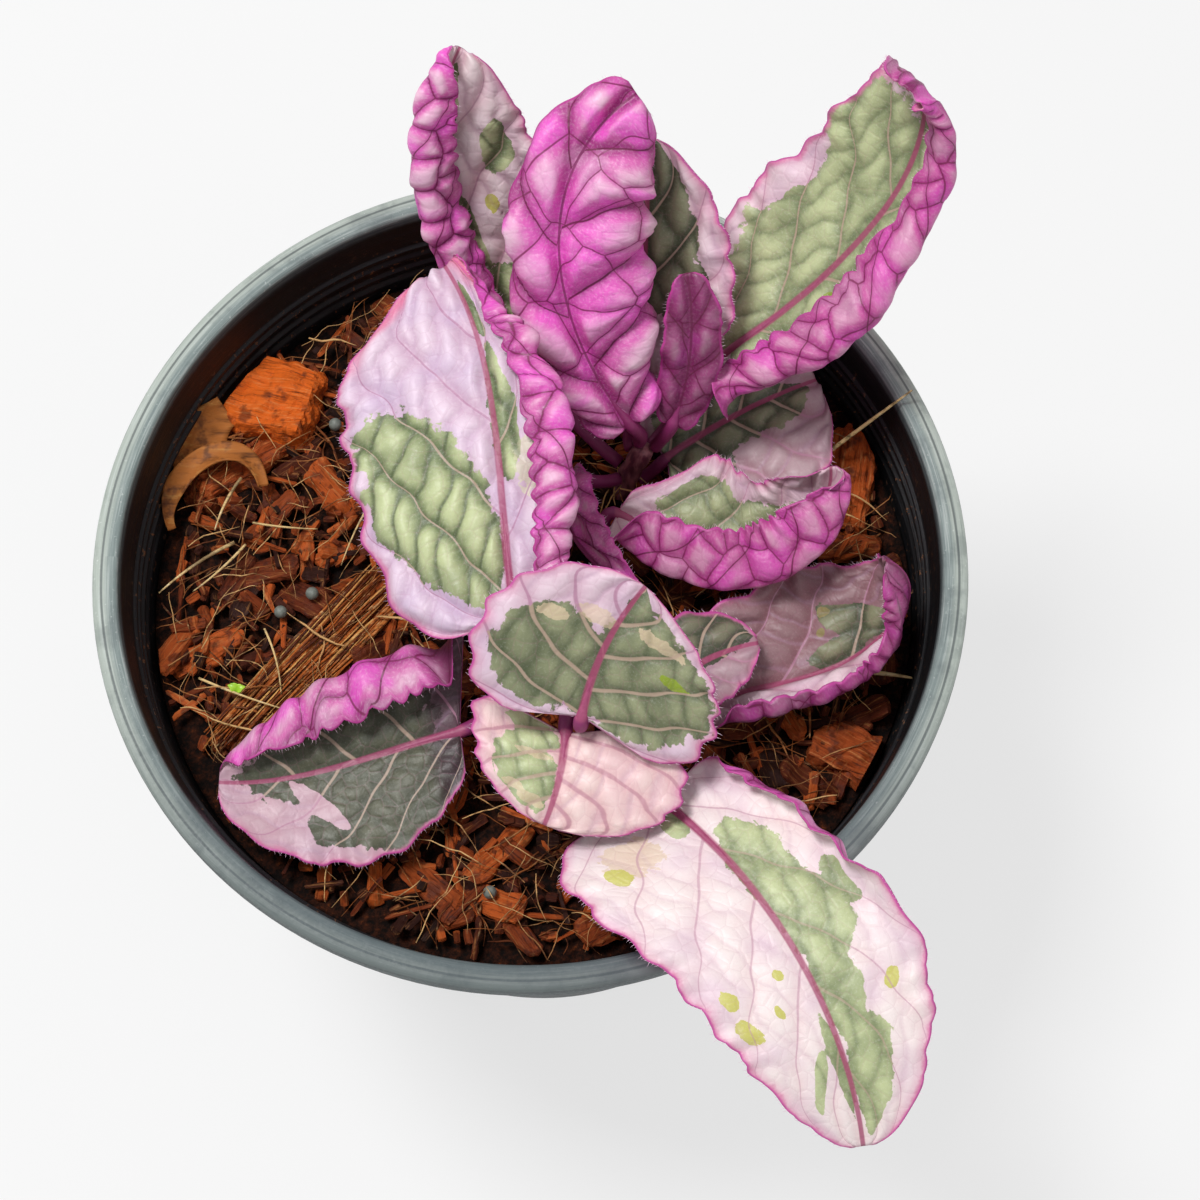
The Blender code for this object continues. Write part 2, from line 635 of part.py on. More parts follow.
def mix_faces():
    """Faces between the mix's circles, a fan under the floor and a fan at the top's centre."""
    last = 1 + (MIX_CIRCLES + 1) * MIX_SEGMENTS
    faces = []
    for s in range(MIX_SEGMENTS):
        n = (s + 1) % MIX_SEGMENTS
        faces.append((0, 1 + n, 1 + s))
        for c in range(MIX_CIRCLES):
            a = 1 + c * MIX_SEGMENTS
            b = a + MIX_SEGMENTS
            if c == 0:
                faces += [(a + s, a + n, b + n), (a + s, b + n, b + s)]
            else:
                faces += [(a + s, a + n, b + s), (b + s, a + n, b + n)]
        top = 1 + MIX_CIRCLES * MIX_SEGMENTS
        faces.append((top + s, top + n, last))
    return faces


def build_mix(finish):
    """The potting mix: a filled cone with an uneven top, husk pieces sunk into it and stem holes."""
    rng = random.Random(MIX_SEED)
    mix = add_object("potting_mix", mix_points(rng), mix_faces(), finish)
    boolean(mix, "UNION", gather("husks", build_husks(rng)), "MANIFOLD")
    boolean(mix, "INTERSECT", gather("envelope", [mix_envelope()]), "MANIFOLD")
    holes = [stem_hole(name) for name in STEM_PATHS]
    boolean(mix, "DIFFERENCE", gather("stem_holes", holes), "MANIFOLD")
    return mix


def build_husk(name, centre, size, yaw, tilt, rng):
    """One piece of husk: a tapered block with uneven corners, sunk in the mix."""
    points = []
    for z in (-0.5, 0.5):
        for x, y in ((-0.5, -0.5), (0.5, -0.5), (0.5, 0.5), (-0.5, 0.5)):
            shrink = HUSK_TAPER if z > 0 else 1.0
            uneven = [rng.uniform(*HUSK_UNEVEN) for _ in range(3)]
            points.append((x * size[0] * shrink * uneven[0], y * size[1] * shrink * uneven[1],
                           z * size[2] * uneven[2]))
    spin = Matrix.Rotation(yaw, 3, "Z") @ Matrix.Rotation(tilt, 3, "Y")
    placed = [spin @ Vector(p) + Vector(centre) for p in points]
    faces = [(0, 3, 2, 1), (4, 5, 6, 7), (0, 1, 5, 4), (1, 2, 6, 5), (2, 3, 7, 6), (3, 0, 4, 7)]
    return add_object(name, placed, faces, None)


def build_husks(rng):
    """The large pieces seen in the mix, and smaller chips scattered by a seeded rule."""
    husks = [build_husk(f"large_{k}", centre, size, math.radians(yaw), math.radians(tilt), rng)
             for k, (centre, size, yaw, tilt) in enumerate(LARGE_HUSKS)]
    for k in range(CHIP_COUNT):
        radius = CHIP_REACH * math.sqrt(rng.random())
        angle = rng.uniform(0, 2 * math.pi)
        size = (rng.uniform(*CHIP_LENGTH), rng.uniform(*CHIP_WIDTH), rng.uniform(*CHIP_THICKNESS))
        centre = (radius * math.cos(angle), radius * math.sin(angle), MIX_TOP - CHIP_SINK)
        yaw = rng.uniform(0, math.pi)
        tilt = math.radians(rng.uniform(-CHIP_TILT, CHIP_TILT))
        husks.append(build_husk(f"chip_{k}", centre, size, yaw, tilt, rng))
    return husks


def main():
    """Build every piece in place."""
    clear_scene()
    build_pot(material("pot_plastic", "pot_plastic"))
    build_mix(material("potting_mix", "potting_mix"))
    for name in STEM_PATHS:
        build_stem(name, material(name, "stem_skin"))
    for name, spec in LEAVES.items():
        build_leaf(name, spec, material(name, "leaf_blade"))


main()
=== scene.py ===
"""The looks of a potted purple waffle plant: puckered leaves, stems, potting mix and nursery pot.

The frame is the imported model: the origin is on the pot's axis at its bottom, +Z is up, and the
camera looks from -Y and well above. Sizes are in millimetres here and in metres in the meshes.
"""
import math
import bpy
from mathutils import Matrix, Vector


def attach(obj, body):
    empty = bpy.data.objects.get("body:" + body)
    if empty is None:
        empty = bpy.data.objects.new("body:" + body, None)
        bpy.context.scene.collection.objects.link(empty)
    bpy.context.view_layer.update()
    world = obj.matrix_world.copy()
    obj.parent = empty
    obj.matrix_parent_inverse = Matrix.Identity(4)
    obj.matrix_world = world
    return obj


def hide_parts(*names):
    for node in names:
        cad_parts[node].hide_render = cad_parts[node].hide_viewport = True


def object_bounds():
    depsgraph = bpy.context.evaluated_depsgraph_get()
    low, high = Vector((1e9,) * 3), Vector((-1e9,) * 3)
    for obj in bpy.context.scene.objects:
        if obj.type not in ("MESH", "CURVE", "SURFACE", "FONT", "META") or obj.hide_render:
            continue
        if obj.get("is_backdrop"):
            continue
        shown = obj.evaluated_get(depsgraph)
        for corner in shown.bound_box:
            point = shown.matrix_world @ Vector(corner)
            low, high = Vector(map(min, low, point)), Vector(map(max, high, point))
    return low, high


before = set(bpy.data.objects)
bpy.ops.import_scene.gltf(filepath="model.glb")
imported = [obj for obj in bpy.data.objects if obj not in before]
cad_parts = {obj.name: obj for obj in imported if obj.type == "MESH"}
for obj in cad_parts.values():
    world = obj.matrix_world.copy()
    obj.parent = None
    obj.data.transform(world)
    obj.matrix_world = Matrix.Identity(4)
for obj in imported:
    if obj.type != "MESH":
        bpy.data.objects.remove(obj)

from types import SimpleNamespace

import bpy
import numpy as np
from mathutils import Vector

CAD_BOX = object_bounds()
MM = 0.001

# Camera, as the photograph was taken: well above the pot's front edge
CAMERA_TARGET = (11.9, -8.0, 118.0)
CAMERA_DISTANCE = 400.0
CAMERA_ELEVATION = 68.85
CAMERA_VIEW_ANGLE = 28.6

# Sizes shared with the pot's and the leaves' solids
POT_HEIGHT = 118.0
LIP_RADIUS = 75.0
LIP_WIDTH = 4.3
LIP_THICKNESS = 1.6
SKIRT_DROP = 4.0
WALL = 2.0
COLLAR_DROP = 18.0
COLLAR_STEP = 0.8
COLLAR_SWELL = 0.4
BASE_RADIUS = 52.0
DRAIN_HOLES = 8
DRAIN_RADIUS = 5.0
DRAIN_CIRCLE = 36.0
MIX_TOP = 99.0
LIP_EASE = 0.8
POT_FINE_SEGMENTS = 160
RIDGE_HEIGHTS = (108.5, 105.8, 102.6)
RIDGE_DEPTH = 0.7

# Potting mix: gap to the wall, reach of what is strewn, and how far a block's corners are rounded
MIX_GAP = 0.4
MIX_REACH = 66.8
CHIP_GROUND = 64.0
BLOCK_ROUNDING = 0.84

# The large husks: centre, size, turn and tilt in degrees, tone from dark to bright
LARGE_HUSKS = [
    ((-49.5, 38, 101), (21, 15.5, 8), -14, 8, 1.0),
    ((-58, 25, 99.5), (17, 7, 5), 70, 8, 0.3),
    ((-52, 25, 99.5), (20, 5, 5), 35, -6, 0.55),
    ((-39.5, -13.8, 98.6), (44, 10, 5), 49, 3, 0.6),
    ((-10, 55, 100), (17, 8, 6), 60, 10, 0.5),
    ((57, 22, 99.5), (20, 9, 6), 80, 8, 0.65),
    ((56, -30, 99.5), (15, 9, 6), -30, 8, 0.5),
    ((20, -57, 99.0), (16, 9, 6), 10, -8, 0.8),
]

# Strewn layers: name, faces of a piece, pieces per square metre, size, tilt, tear, height, seed
CHIP_LAYERS = [
    ("husk_chips", (12, 7, 4), 7000, (15, 6.5, 2.2), 22, 1.2, 100.0, 3),
    ("small_chips", (7, 5, 3), 17000, (8, 3, 1.4), 30, 0.9, 100.2, 5),
    ("shreds", (7, 3, 2), 30000, (12, 1.3, 0.8), 22, 0.5, 100.7, 7),
    ("crumbs", (4, 3, 3), 60000, (3.2, 1.8, 1.3), 40, 0.5, 100.5, 9),
]

# Fibre layers: name, fibres per square metre, length, radius, rise, tilt, height, seed
FIBRE_LAYERS = [
    ("coarse_fibres", 15000, 15.0, 0.27, 4.0, 14, 99.9, 21),
    ("fine_fibres", 90000, 13.0, 0.14, 5.0, 20, 99.6, 23),
]

# Single bits on the mix. Straws: path and radius. Strips: path, facing, widths and cup
STRAW_SIDES = 6
STRAWS = [
    ([(49.7, 23.5, 103.5), (58.0, 26.6, 112.8), (66.2, 29.6, 122.0)], 0.4),
    ([(57.0, -15.6, 103.2), (62.0, -16.4, 103.9), (66.2, -17.2, 104.2)], 0.45),
    ([(-52.5, 20.5, 105.0), (-55.0, 15.6, 105.2), (-56.8, 10.6, 104.2)], 0.3),
    ([(-53.0, 8.0, 105.0), (-59.5, 3.9, 105.0), (-66.0, -1.2, 103.8)], 0.32),
    ([(-51.0, 7.6, 105.0), (-55.0, 3.0, 105.0), (-60.0, -1.0, 104.0)], 0.25),
    ([(-50.0, 12.0, 104.5), (-44.0, 11.0, 104.8), (-38.5, 11.0, 104.0)], 0.22),
    ([(-47.0, -8.0, 104.0), (-44.6, -14.0, 104.2), (-43.5, -20.0, 103.6)], 0.22),
    ([(-58.0, -17.0, 103.5), (-50.0, -20.5, 104.2), (-42.0, -23.0, 103.6)], 0.25),
    ([(-27.0, 20.0, 104.0), (-31.0, 12.0, 104.6), (-34.0, 4.0, 104.0)], 0.22),
]
LEAF_SCRAPS = [
    ([(-65.0, 11.9, 101.5), (-61.7, 22.2, 105.0), (-54.5, 24.9, 106.0), (-48.7, 19.3, 104.0)],
     (0.3, 0.2, 1), (1.5, 4.0, 4.2, 2.0), 0.35),
    ([(-63.0, 20.9, 101.0), (-61.0, 28.5, 103.5), (-56.0, 34.2, 104.5)],
     (0.4, -0.3, 0.9), (4.0, 10.0, 6.0), 0.2),
]

# The bark strip's loose fibres: the strip's two ends and half width, how many, the longest and thickest
BARK_ENDS = ((-53.4, -29.6, 100.9), (-25.7, 2.0, 102.0))
BARK_HALF_WIDTH = 5.0
BARK_FIBRES = 220
BARK_FIBRE_SIDES = 5
BARK_FIBRE_LENGTH = 24.0
BARK_FIBRE_RADIUS = 0.3

# Round beads and a seedling
BEAD_RADIUS = 1.15
BEADS = [(-39.0, -1.1, 103.4), (-36.3, 32.1, 103.0), (-44.5, -4.3, 102.6), (-6.7, -54.9, 102.4)]
SEEDLING_LEAVES = [
    ([(-51.3, -19.4, 103.4), (-51.9, -18.9, 104.2), (-52.7, -18.6, 104.1)], (0, 0, 1), (0.3, 1.6, 0.3), 0.3),
    ([(-51.2, -19.4, 103.4), (-50.5, -19.1, 104.3), (-49.8, -18.9, 104.2)], (0, 0, 1), (0.3, 1.6, 0.3), 0.3),
]

# Stems: how much thinner they are than their solids, and how they swell where a leaf grows
STEM_RADIUS = 2.3
STEM_TAPER = 0.2
STEM_SIDES = 24
STEM_THINNER = 0.25
NODE_SWELL = 0.35
NODE_LENGTH = 0.035

# Petioles: how they leave the stem and arrive at the blade, and the midrib that goes on from them
PETIOLE_RADIUS = 1.2
PETIOLE_CLEARANCE = 0.45
LEAVE_SHARE = 0.3
ARRIVE_SHARE = 0.25
PAIR_SHIFT = 1.6
RIB_SIDES = 12
RIB_END = 0.985

# The leaves' lobes, rolled margins and side veins
LOBE_POWER = 1.3
ROLL_RISE = 0.12
FULL_ROLL_WIDTH = 9.0
VEIN_SLANT = 0.42
VEIN_CURVE = 1.1
VEIN_STAGGER = 0.25
VEIN_SHARE = 0.72

# The fine blade: mesh step, thickness in the middle and at the margin, teeth and ruffles
BLADE_STEP = 0.55
BLADE_END = 0.996
BLADE_THICKNESS = 0.55
MARGIN_THICKNESS = 0.3
THINNING_WIDTH = 4
ARC_STEPS = 160
ARC_END = 1.08
RIB_HALF_WIDTH = 0.45
TOOTH_LENGTH = 3.6
TOOTH_DEPTH = 0.3
CURLED_TOOTH_DEPTH = 1.1
RUFFLE_LENGTH = 7.0
RUFFLE_HEIGHT = 0.45
SCALLOP = 0.03

# Pillows: pitch on the flat and on the curled parts, height, and how far a blade turns to be curled
PILLOW_PITCH = 5.4
CURLED_PITCH = 4.8
SWELL = 1.35
CURLED_FROM = 50
CURLED_BY = 110

# Hairs along the blades' margins: length, radius and the share of places that have one
HAIR_LENGTH = 0.75
HAIR_RADIUS = 0.05
HAIR_SHARE = 0.8

# A leaf's look where its own doesn't say: patches, amounts from 0 to 1 (some of them painted shade and
# highlight), veins and pillows, rim, two colours
PLAIN_LOOK = {
    "green": [], "pink": [], "peach": [], "yellow": [],
    "dark": 0.0, "painted_shade": 0.0, "warm": 0.5, "white": 0.0, "soft": 0.0, "tip": 0.0, "base": 0.0,
    "heart": 0.0, "deep": 0.0, "crease": 0.3, "crown": 0.6, "lit_side": False, "whole": False,
    "lines": 0, "slant": VEIN_SLANT, "cell": CURLED_PITCH, "swell": SWELL, "sense": 1.0,
    "rim": 0.15, "rib": 1.0, "cream": "DEC6A6", "spot": "C9C46A",
}

# The stems' centre lines, from inside the mix up to the highest leaves
STEM_PATHS = {
    "stem_back": [(14, 20, 77), (16, 21, 100), (20, 23, 113)],
    "stem_front": [(10, 8, 77), (10, -3, 101), (9, -17, 114), (8.5, -25, 121)],
}


def side(half, fold=10, roll=0, bend=(0.3, 1.0), lobe=0.35):
    """One side of a blade: half-width, slope up from the midrib, and the further turn towards the margin."""
    return {"half": half, "fold": fold, "roll": roll, "bend": bend, "lobe": lobe}


def patch(t, u, half_t, half_u, lean=0.0):
    """An oval patch of colour on a blade: t across from -1 to 1, u along from 0 to 1, and its half sizes."""
    return (t, u, half_t, half_u, lean)


def leaf(root, rib, face, left, right, veins=6, waffle=1.1, shape=(0.34, 0.6), look=None):
    """One leaf: where it grows, midrib, facing, two sides, side veins, pillow depth, outline and look."""
    return {"root": root, "rib": rib, "face": face, "left": left, "right": right,
            "veins": veins, "waffle": waffle, "shape": shape, "look": PLAIN_LOOK | (look or {})}


UP = (0, 0, 1)

LEAVES = {
    "leaf_back_left": leaf(
        root=("stem_back", 0.78, 0),
        rib=[(-1, 38, 117), (-11.5, 50.5, 132), (-15.5, 59, 146), (-11, 71, 165)],
        face=[(0.2, -0.5, 1), (0.3, -0.6, 0.8)], shape=(0.34, 0.4),
        left=side((10, 15, 15), fold=(20, 25, 25), roll=(120, 190, 150), bend=(0.2, 0.8), lobe=0.0),
        right=side((17, 19, 17), fold=8, roll=(20, 10, -20)),
        look={"green": [patch(0.6, 0.7, 0.17, 0.1, 0.2), patch(0.1, 0.82, 0.12, 0.14),
                        patch(0.12, 0.42, 0.1, 0.16), patch(0.3, 0.2, 0.4, 0.1), patch(-0.3, 0.6, 0.2, 0.2)],
              "yellow": [patch(0.4, 0.5, 0.06, 0.03)], "white": 0.4, "crown": 0.8, "cell": 5.6}),
    "leaf_erect": leaf(
        root=("stem_back", 1.0, -PAIR_SHIFT),
        rib=[(17, 22.5, 123.5), (7, 34, 141), (6, 47, 157), (18, 60, 168)],
        face=[(0, 0.6, -1), (0, 0.5, -1)], shape=(0.3, 0.35), veins=5, waffle=2.0,
        left=side((11, 17.5, 17.5, 16), fold=-5, roll=(90, 100, 90, 50), lobe=0.3),
        right=side((9, 9.3, 9.3, 9), fold=-5, roll=(90, 90, 60, 40), lobe=0.1),
        look={"whole": True, "sense": -1.0, "cell": 9.0, "swell": 1.5, "rib": 0.3, "heart": 0.6, "lines": 5,
              "slant": 0.16, "crown": 0.9}),
    "leaf_behind_erect": leaf(
        root=("stem_back", 0.88, 0), rib=[(19.5, 30.5, 120), (19.5, 46, 137), (20.5, 60.5, 154)],
        face=[(0, -0.8, 1)], shape=(0.45, 0.6),
        left=side(15, fold=5), right=side(16, fold=10, roll=20, lobe=0.0),
        look={"green": [patch(0.2, 0.7, 0.45, 0.42), patch(0.45, 0.45, 0.25, 0.12)], "dark": 0.8}),
    "leaf_back_right": leaf(
        root=("stem_back", 0.93, 0),
        rib=[(31.5, 34, 122), (42.3, 39.2, 131), (53, 45, 141), (61, 51.5, 151), (64.5, 57.5, 160.5),
             (64, 60, 168.5), (60.3, 56.5, 174)],
        face=[(-0.3, -0.3, 1), (-0.4, -0.4, 1), (-0.5, -0.5, 0.7), (-0.5, -0.8, 0.2), (-0.3, -0.4, -0.9)],
        shape=(0.3, 0.2), veins=7,
        left=side((23, 24, 17.5, 8), fold=(-15, -12, -8), bend=(0.5, 1.0)),
        right=side((22, 26, 15, 11), fold=12, roll=(180, 190, 190), bend=(0.4, 0.85)),
        look={"green": [patch(-0.35, 0.5, 0.62, 0.36), patch(0.15, 0.45, 0.5, 0.4),
                        patch(-0.75, 0.72, 0.3, 0.14), patch(-0.2, 0.2, 0.55, 0.16)],
              "pink": [patch(-0.95, 0.47, 0.25, 0.16)], "yellow": [patch(0.17, 0.33, 0.05, 0.03)],
              "spot": "8FA432", "rim": 0.5, "tip": 0.7, "deep": 0.3, "cell": 5.6, "swell": 0.75,
              "crease": 0.15, "soft": 0.5}),
    "leaf_large_left": leaf(
        root=("stem_front", 0.88, 0),
        rib=[(-2, -16, 134), (-4, 2, 138.5), (-7.5, 26, 142), (-14.3, 43.5, 141)],
        face=[(-0.1, -0.3, 1)], shape=(0.36, 0.2), veins=7,
        left=side((31, 28, 26.5, 25, 15), fold=(-8, -6, 4), roll=(-10, -10, 0), lobe=0.4),
        right=side((22, 22, 22, 20, 14.5, 6.5, 6), roll=(180, 190, 190), bend=(0.48, 0.9), lobe=0.2),
        look={"green": [patch(-0.52, 0.34, 0.46, 0.24, -0.25), patch(-0.28, 0.17, 0.28, 0.14),
                        patch(0.1, 0.53, 0.13, 0.19), patch(0.12, 0.84, 0.12, 0.09)],
              "pink": [patch(-1.0, 0.43, 0.16, 0.04)], "peach": [patch(0.3, 0.38, 0.14, 0.08)],
              "lines": 4, "slant": 0.6, "rim": 0.3, "warm": 0.1, "tip": 1.0, "cream": "DCD8B6",
              "crease": 0.6, "swell": 1.45, "soft": 0.2}),
    "leaf_small_curled": leaf(
        root=("stem_back", 1.0, PAIR_SHIFT),
        rib=[(24.6, 23.5, 121.8), (27.3, 32, 133), (26.5, 41.5, 142.5)],
        face=[(0, 0.6, -1), (0, 0.5, -1)], shape=(0.3, 0.35), veins=4, waffle=0.5,
        left=side((4.8, 5.2, 5.2), fold=-6, roll=32), right=side((4.6, 4.8, 4.8), fold=-6, roll=20),
        look={"whole": True, "sense": -1.0, "cell": 6.5, "swell": 3.6, "rib": 0.3, "lines": 3, "slant": 0.2,
              "painted_shade": 1.1}),
    "leaf_low_right": leaf(
        root=("stem_back", 0.68, 0), rib=[(24, 24, 106), (34, 30, 108), (51, 38, 109)],
        face=[UP], shape=(0.34, 0.4),
        left=side(14, fold=5), right=side(21, fold=5, lobe=0.6),
        look={"green": [patch(0.1, 0.72, 0.25, 0.2), patch(-0.3, 0.4, 0.6, 0.4), patch(0.4, 0.15, 0.5, 0.2)],
              "dark": 0.8, "painted_shade": 0.5}),
    "leaf_boat": leaf(
        root=("stem_front", 0.48, 0),
        rib=[(15, 10.5, 112), (26.5, 5, 110.5), (38.5, 3, 111.5), (48, 6.5, 117), (51, 13, 127)],
        face=[(0, 0.2, 1), (-0.3, 0.2, 1)], shape=(0.3, 0.35), veins=5,
        left=side((10, 18, 15, 12, 12), fold=30, roll=(0, 10, 30), lobe=0.0),
        right=side((19, 19, 20), fold=0, roll=(130, 140, 140), bend=(0.25, 0.62), lobe=0.1),
        look={"green": [patch(-0.1, 0.5, 0.55, 0.34), patch(-0.5, 0.3, 0.3, 0.2)], "dark": 0.3, "painted_shade": 0.15,
              "deep": 0.35, "cell": 5.4, "swell": 1.0, "soft": 0.5}),
    "leaf_right_cup": leaf(
        root=("stem_front", 0.62, 0),
        rib=[(31, -22.5, 105), (45, -18.5, 105.5), (59, -13, 109), (64.5, -7, 117), (60, -3, 124)],
        face=[(0, 0.1, 1), (-0.6, 0, 1), (-1, 0, 0.2)], shape=(0.3, 0.3),
        left=side((19, 19, 11), fold=15, roll=(30, 30, 10)),
        right=side((13, 11, 11), fold=25, roll=(120, 100, 110), bend=(0.5, 1.0)),
        look={"green": [patch(-0.28, 0.6, 0.3, 0.1, 0.3), patch(-0.12, 0.48, 0.12, 0.12)],
              "yellow": [patch(-0.5, 0.5, 0.05, 0.03), patch(-0.35, 0.45, 0.04, 0.02)],
              "painted_shade": 0.8, "dark": 0.8, "spot": "94885A", "lit_side": True, "deep": 0.2}),
    "leaf_crown": leaf(
        root=("stem_front", 1.0, PAIR_SHIFT), rib=[(9, -35, 137), (12, -27, 143), (19, -18, 150)],
        face=[(0, -0.6, 1)],
        left=side(20, fold=5, lobe=0.15), right=side(21, fold=0, lobe=0.55),
        look={"green": [patch(-0.45, 0.35, 0.42, 0.3), patch(0.42, 0.45, 0.54, 0.45),
                        patch(0.0, 0.3, 0.3, 0.3), patch(0.15, 0.85, 0.2, 0.14)],
              "peach": [patch(-0.2, 0.68, 0.2, 0.05), patch(0.45, 0.72, 0.3, 0.05),
                        patch(-0.55, 0.58, 0.12, 0.04)],
              "yellow": [patch(0.6, 0.5, 0.12, 0.04)], "spot": "8FA432", "dark": 0.6, "lines": 4,
              "warm": 0.3, "swell": 0.75, "crease": 0.2, "soft": 0.5}),
    "leaf_crown_front": leaf(
        root=("stem_front", 1.0, -PAIR_SHIFT),
        rib=[(6.3, -36, 130.5), (5.5, -43, 131), (3, -50.5, 128.5)],
        face=[(0, -0.2, 1), (0, -0.6, 1)], shape=(0.25, 0.45),
        left=side((18, 20, 17), fold=0, lobe=0.2), right=side((17, 14, 12), fold=0, lobe=0.7),
        look={"green": [patch(0.42, 0.55, 0.4, 0.36), patch(0.4, 0.15, 0.36, 0.14)],
              "pink": [patch(0.75, 0.17, 0.22, 0.06)],
              "peach": [patch(0.38, 0.78, 0.22, 0.07), patch(0.6, 0.68, 0.16, 0.05),
                        patch(0.3, 0.33, 0.2, 0.04)],
              "warm": 1.0, "swell": 0.8, "soft": 0.5}),
    "leaf_front_long": leaf(
        root=("stem_front", 0.88, 0),
        rib=[(22, -45, 123), (32, -56, 128), (44, -75, 131), (52.5, -100, 122)],
        face=[(0.1, 0, 1), (0, -0.1, 1)], shape=(0.25, 0.5), veins=8,
        left=side((16, 18, 20.5, 18), fold=5, roll=(150, 120, 0, 0), bend=(0.65, 0.95), lobe=0.1),
        right=side((25, 19, 17.5), fold=0, lobe=0.5),
        look={"green": [patch(-0.22, 0.3, 0.26, 0.15), patch(-0.3, 0.47, 0.3, 0.12),
                        patch(-0.2, 0.63, 0.2, 0.14), patch(-0.3, 0.83, 0.28, 0.13),
                        patch(-0.66, 0.43, 0.12, 0.06), patch(0.08, 0.8, 0.08, 0.12),
                        patch(0.4, 0.82, 0.22, 0.03, 0.3), patch(0.1, 0.08, 0.1, 0.05)],
              "peach": [patch(0.5, 0.12, 0.22, 0.05)],
              "yellow": [patch(0.76, 0.65, 0.1, 0.035), patch(0.76, 0.56, 0.08, 0.03),
                         patch(-0.66, 0.66, 0.07, 0.02), patch(0.68, 0.16, 0.08, 0.03),
                         patch(0.4, 0.63, 0.04, 0.02), patch(0.25, 0.55, 0.05, 0.015)],
              "white": 0.75, "swell": 0.4, "lines": 5, "crease": 0.15, "soft": 0.6}),
    "leaf_front_left": leaf(
        root=("stem_front", 0.66, 0),
        rib=[(-12, -28.5, 109), (-25, -32, 107.5), (-39, -35.5, 106), (-53, -37, 107)],
        face=[UP, (0.2, 0, 1)], shape=(0.25, 0.45), waffle=1.4,
        left=side((13, 18, 17), fold=0, roll=(0, 0, 30), lobe=0.0),
        right=side((28, 24, 19), fold=18, roll=(160, 170, 150), bend=(0.46, 0.84)),
        look={"green": [patch(-0.5, 0.25, 0.55, 0.3), patch(0.1, 0.5, 0.5, 0.42),
                        patch(-0.6, 0.57, 0.25, 0.1)],
              "pink": [patch(-0.35, 0.62, 0.3, 0.05, 0.3)], "dark": 1.0, "swell": 0.4, "painted_shade": 0.2,
              "crease": 0.15, "soft": 0.8, "base": 0.85, "cell": 9.0}),
    "leaf_crinkled": leaf(
        root=("stem_back", 0.75, 0),
        rib=[(6.5, 15, 114), (7, 5, 118), (12, -2.5, 119), (19, -7, 119)],
        face=[(1, 0, 0)], waffle=0.8, veins=5,
        left=side(7, roll=60), right=side(8, roll=100)),
    "leaf_crown_right": leaf(
        root=("stem_front", 0.76, 0), rib=[(24, -22, 115), (31, -17, 114), (39, -14, 113)],
        face=[UP], waffle=0.8, veins=4,
        left=side(9, fold=5), right=side(8, fold=5),
        look={"green": [patch(-0.5, 0.45, 0.7, 0.5)], "dark": 1.0, "painted_shade": 0.5}),
}


# Colours

def linear(code):
    """A colour from its six hexadecimal digits, as Blender's nodes need it; any other value stays."""
    if not isinstance(code, str):
        return code
    parts = [int(code[k:k + 2], 16) / 255 for k in (0, 2, 4)]
    return tuple(p / 12.92 if p <= 0.04045 else ((p + 0.055) / 1.055) ** 2.4 for p in parts) + (1.0,)


def between(share, one, two):
    """A plain colour between two others."""
    return tuple(a + (b - a) * share for a, b in zip(linear(one), linear(two)))


# Nodes, in shader trees and geometry trees alike

class Field:
    """An output of a node; each operator on it makes one more node in its tree."""

    def __init__(self, socket):
        self.socket = socket
        self.tree = socket.id_data

    def __add__(self, other):
        return reckon("ADD", self, other)

    def __sub__(self, other):
        return reckon("SUBTRACT", self, other)

    def __rsub__(self, other):
        return reckon("SUBTRACT", other, self)

    def __mul__(self, other):
        return reckon("MULTIPLY", self, other)

    def __truediv__(self, other):
        return reckon("DIVIDE", self, other)

    def __rtruediv__(self, other):
        return reckon("DIVIDE", other, self)

    def __abs__(self):
        return reckon("ABSOLUTE", self)

    def __round__(self):
        return reckon("ROUND", self)


def tree_of(values):
    """The tree of the first field among some values."""
    return next(value.tree for value in values if isinstance(value, Field))


def is_vector(value):
    """Whether a value is a vector or a colour, and not a number."""
    if isinstance(value, Field):
        return value.socket.type in ("VECTOR", "RGBA")
    return isinstance(value, tuple)


def join(tree, socket, value):
    """Link a field into a socket, or set a plain value."""
    if isinstance(value, Field):
        tree.links.new(value.socket, socket)
    else:
        socket.default_value = value


def node(tree, kind, inputs=(), output=0, **settings):
    """A new node with its settings made and its inputs joined; returns one of its outputs."""
    made = tree.nodes.new(kind)
    for key, value in settings.items():
        setattr(made, key, value)
    for key, value in dict(inputs).items():
        join(tree, made.inputs[key], value)
    return Field(made.outputs[output])


def reckon(operation, *values, output=0):
    """One Math node, or one Vector Math node where a value is a vector."""
    vectors = [is_vector(value) for value in values]
    kind = "ShaderNodeVectorMath" if any(vectors) else "ShaderNodeMath"
    inputs = dict(enumerate(values))
    if operation == "MULTIPLY" and any(vectors) and not all(vectors):
        operation = "SCALE"
        inputs = {0: values[0], "Scale": values[1]}
    return node(tree_of(values), kind, inputs, output, operation=operation)


def span(value):
    """A vector's length."""
    return reckon("LENGTH", value, output="Value")


def split(value):
    """The three parts of a vector."""
    parts = node(value.tree, "ShaderNodeSeparateXYZ", {0: value}).socket.node.outputs
    return [Field(part) for part in parts]


def merge(x, y, z=0.0):
    """A vector of three parts."""
    return node(tree_of((x, y, z)), "ShaderNodeCombineXYZ", {0: x, 1: y, 2: z})


def ease(value, low, high, end=1.0, start=0.0):
    """A smooth step from start to end as the value goes from low to high."""
    inputs = {"Value": value, "From Min": low, "From Max": high, "To Min": start, "To Max": end}
    return node(value.tree, "ShaderNodeMapRange", inputs, interpolation_type="SMOOTHSTEP")


def mixed(factor, one, two):
    """A number between two others."""
    inputs = {0: factor, 2: one, 3: two}
    return node(tree_of(inputs.values()), "ShaderNodeMix", inputs, data_type="FLOAT")


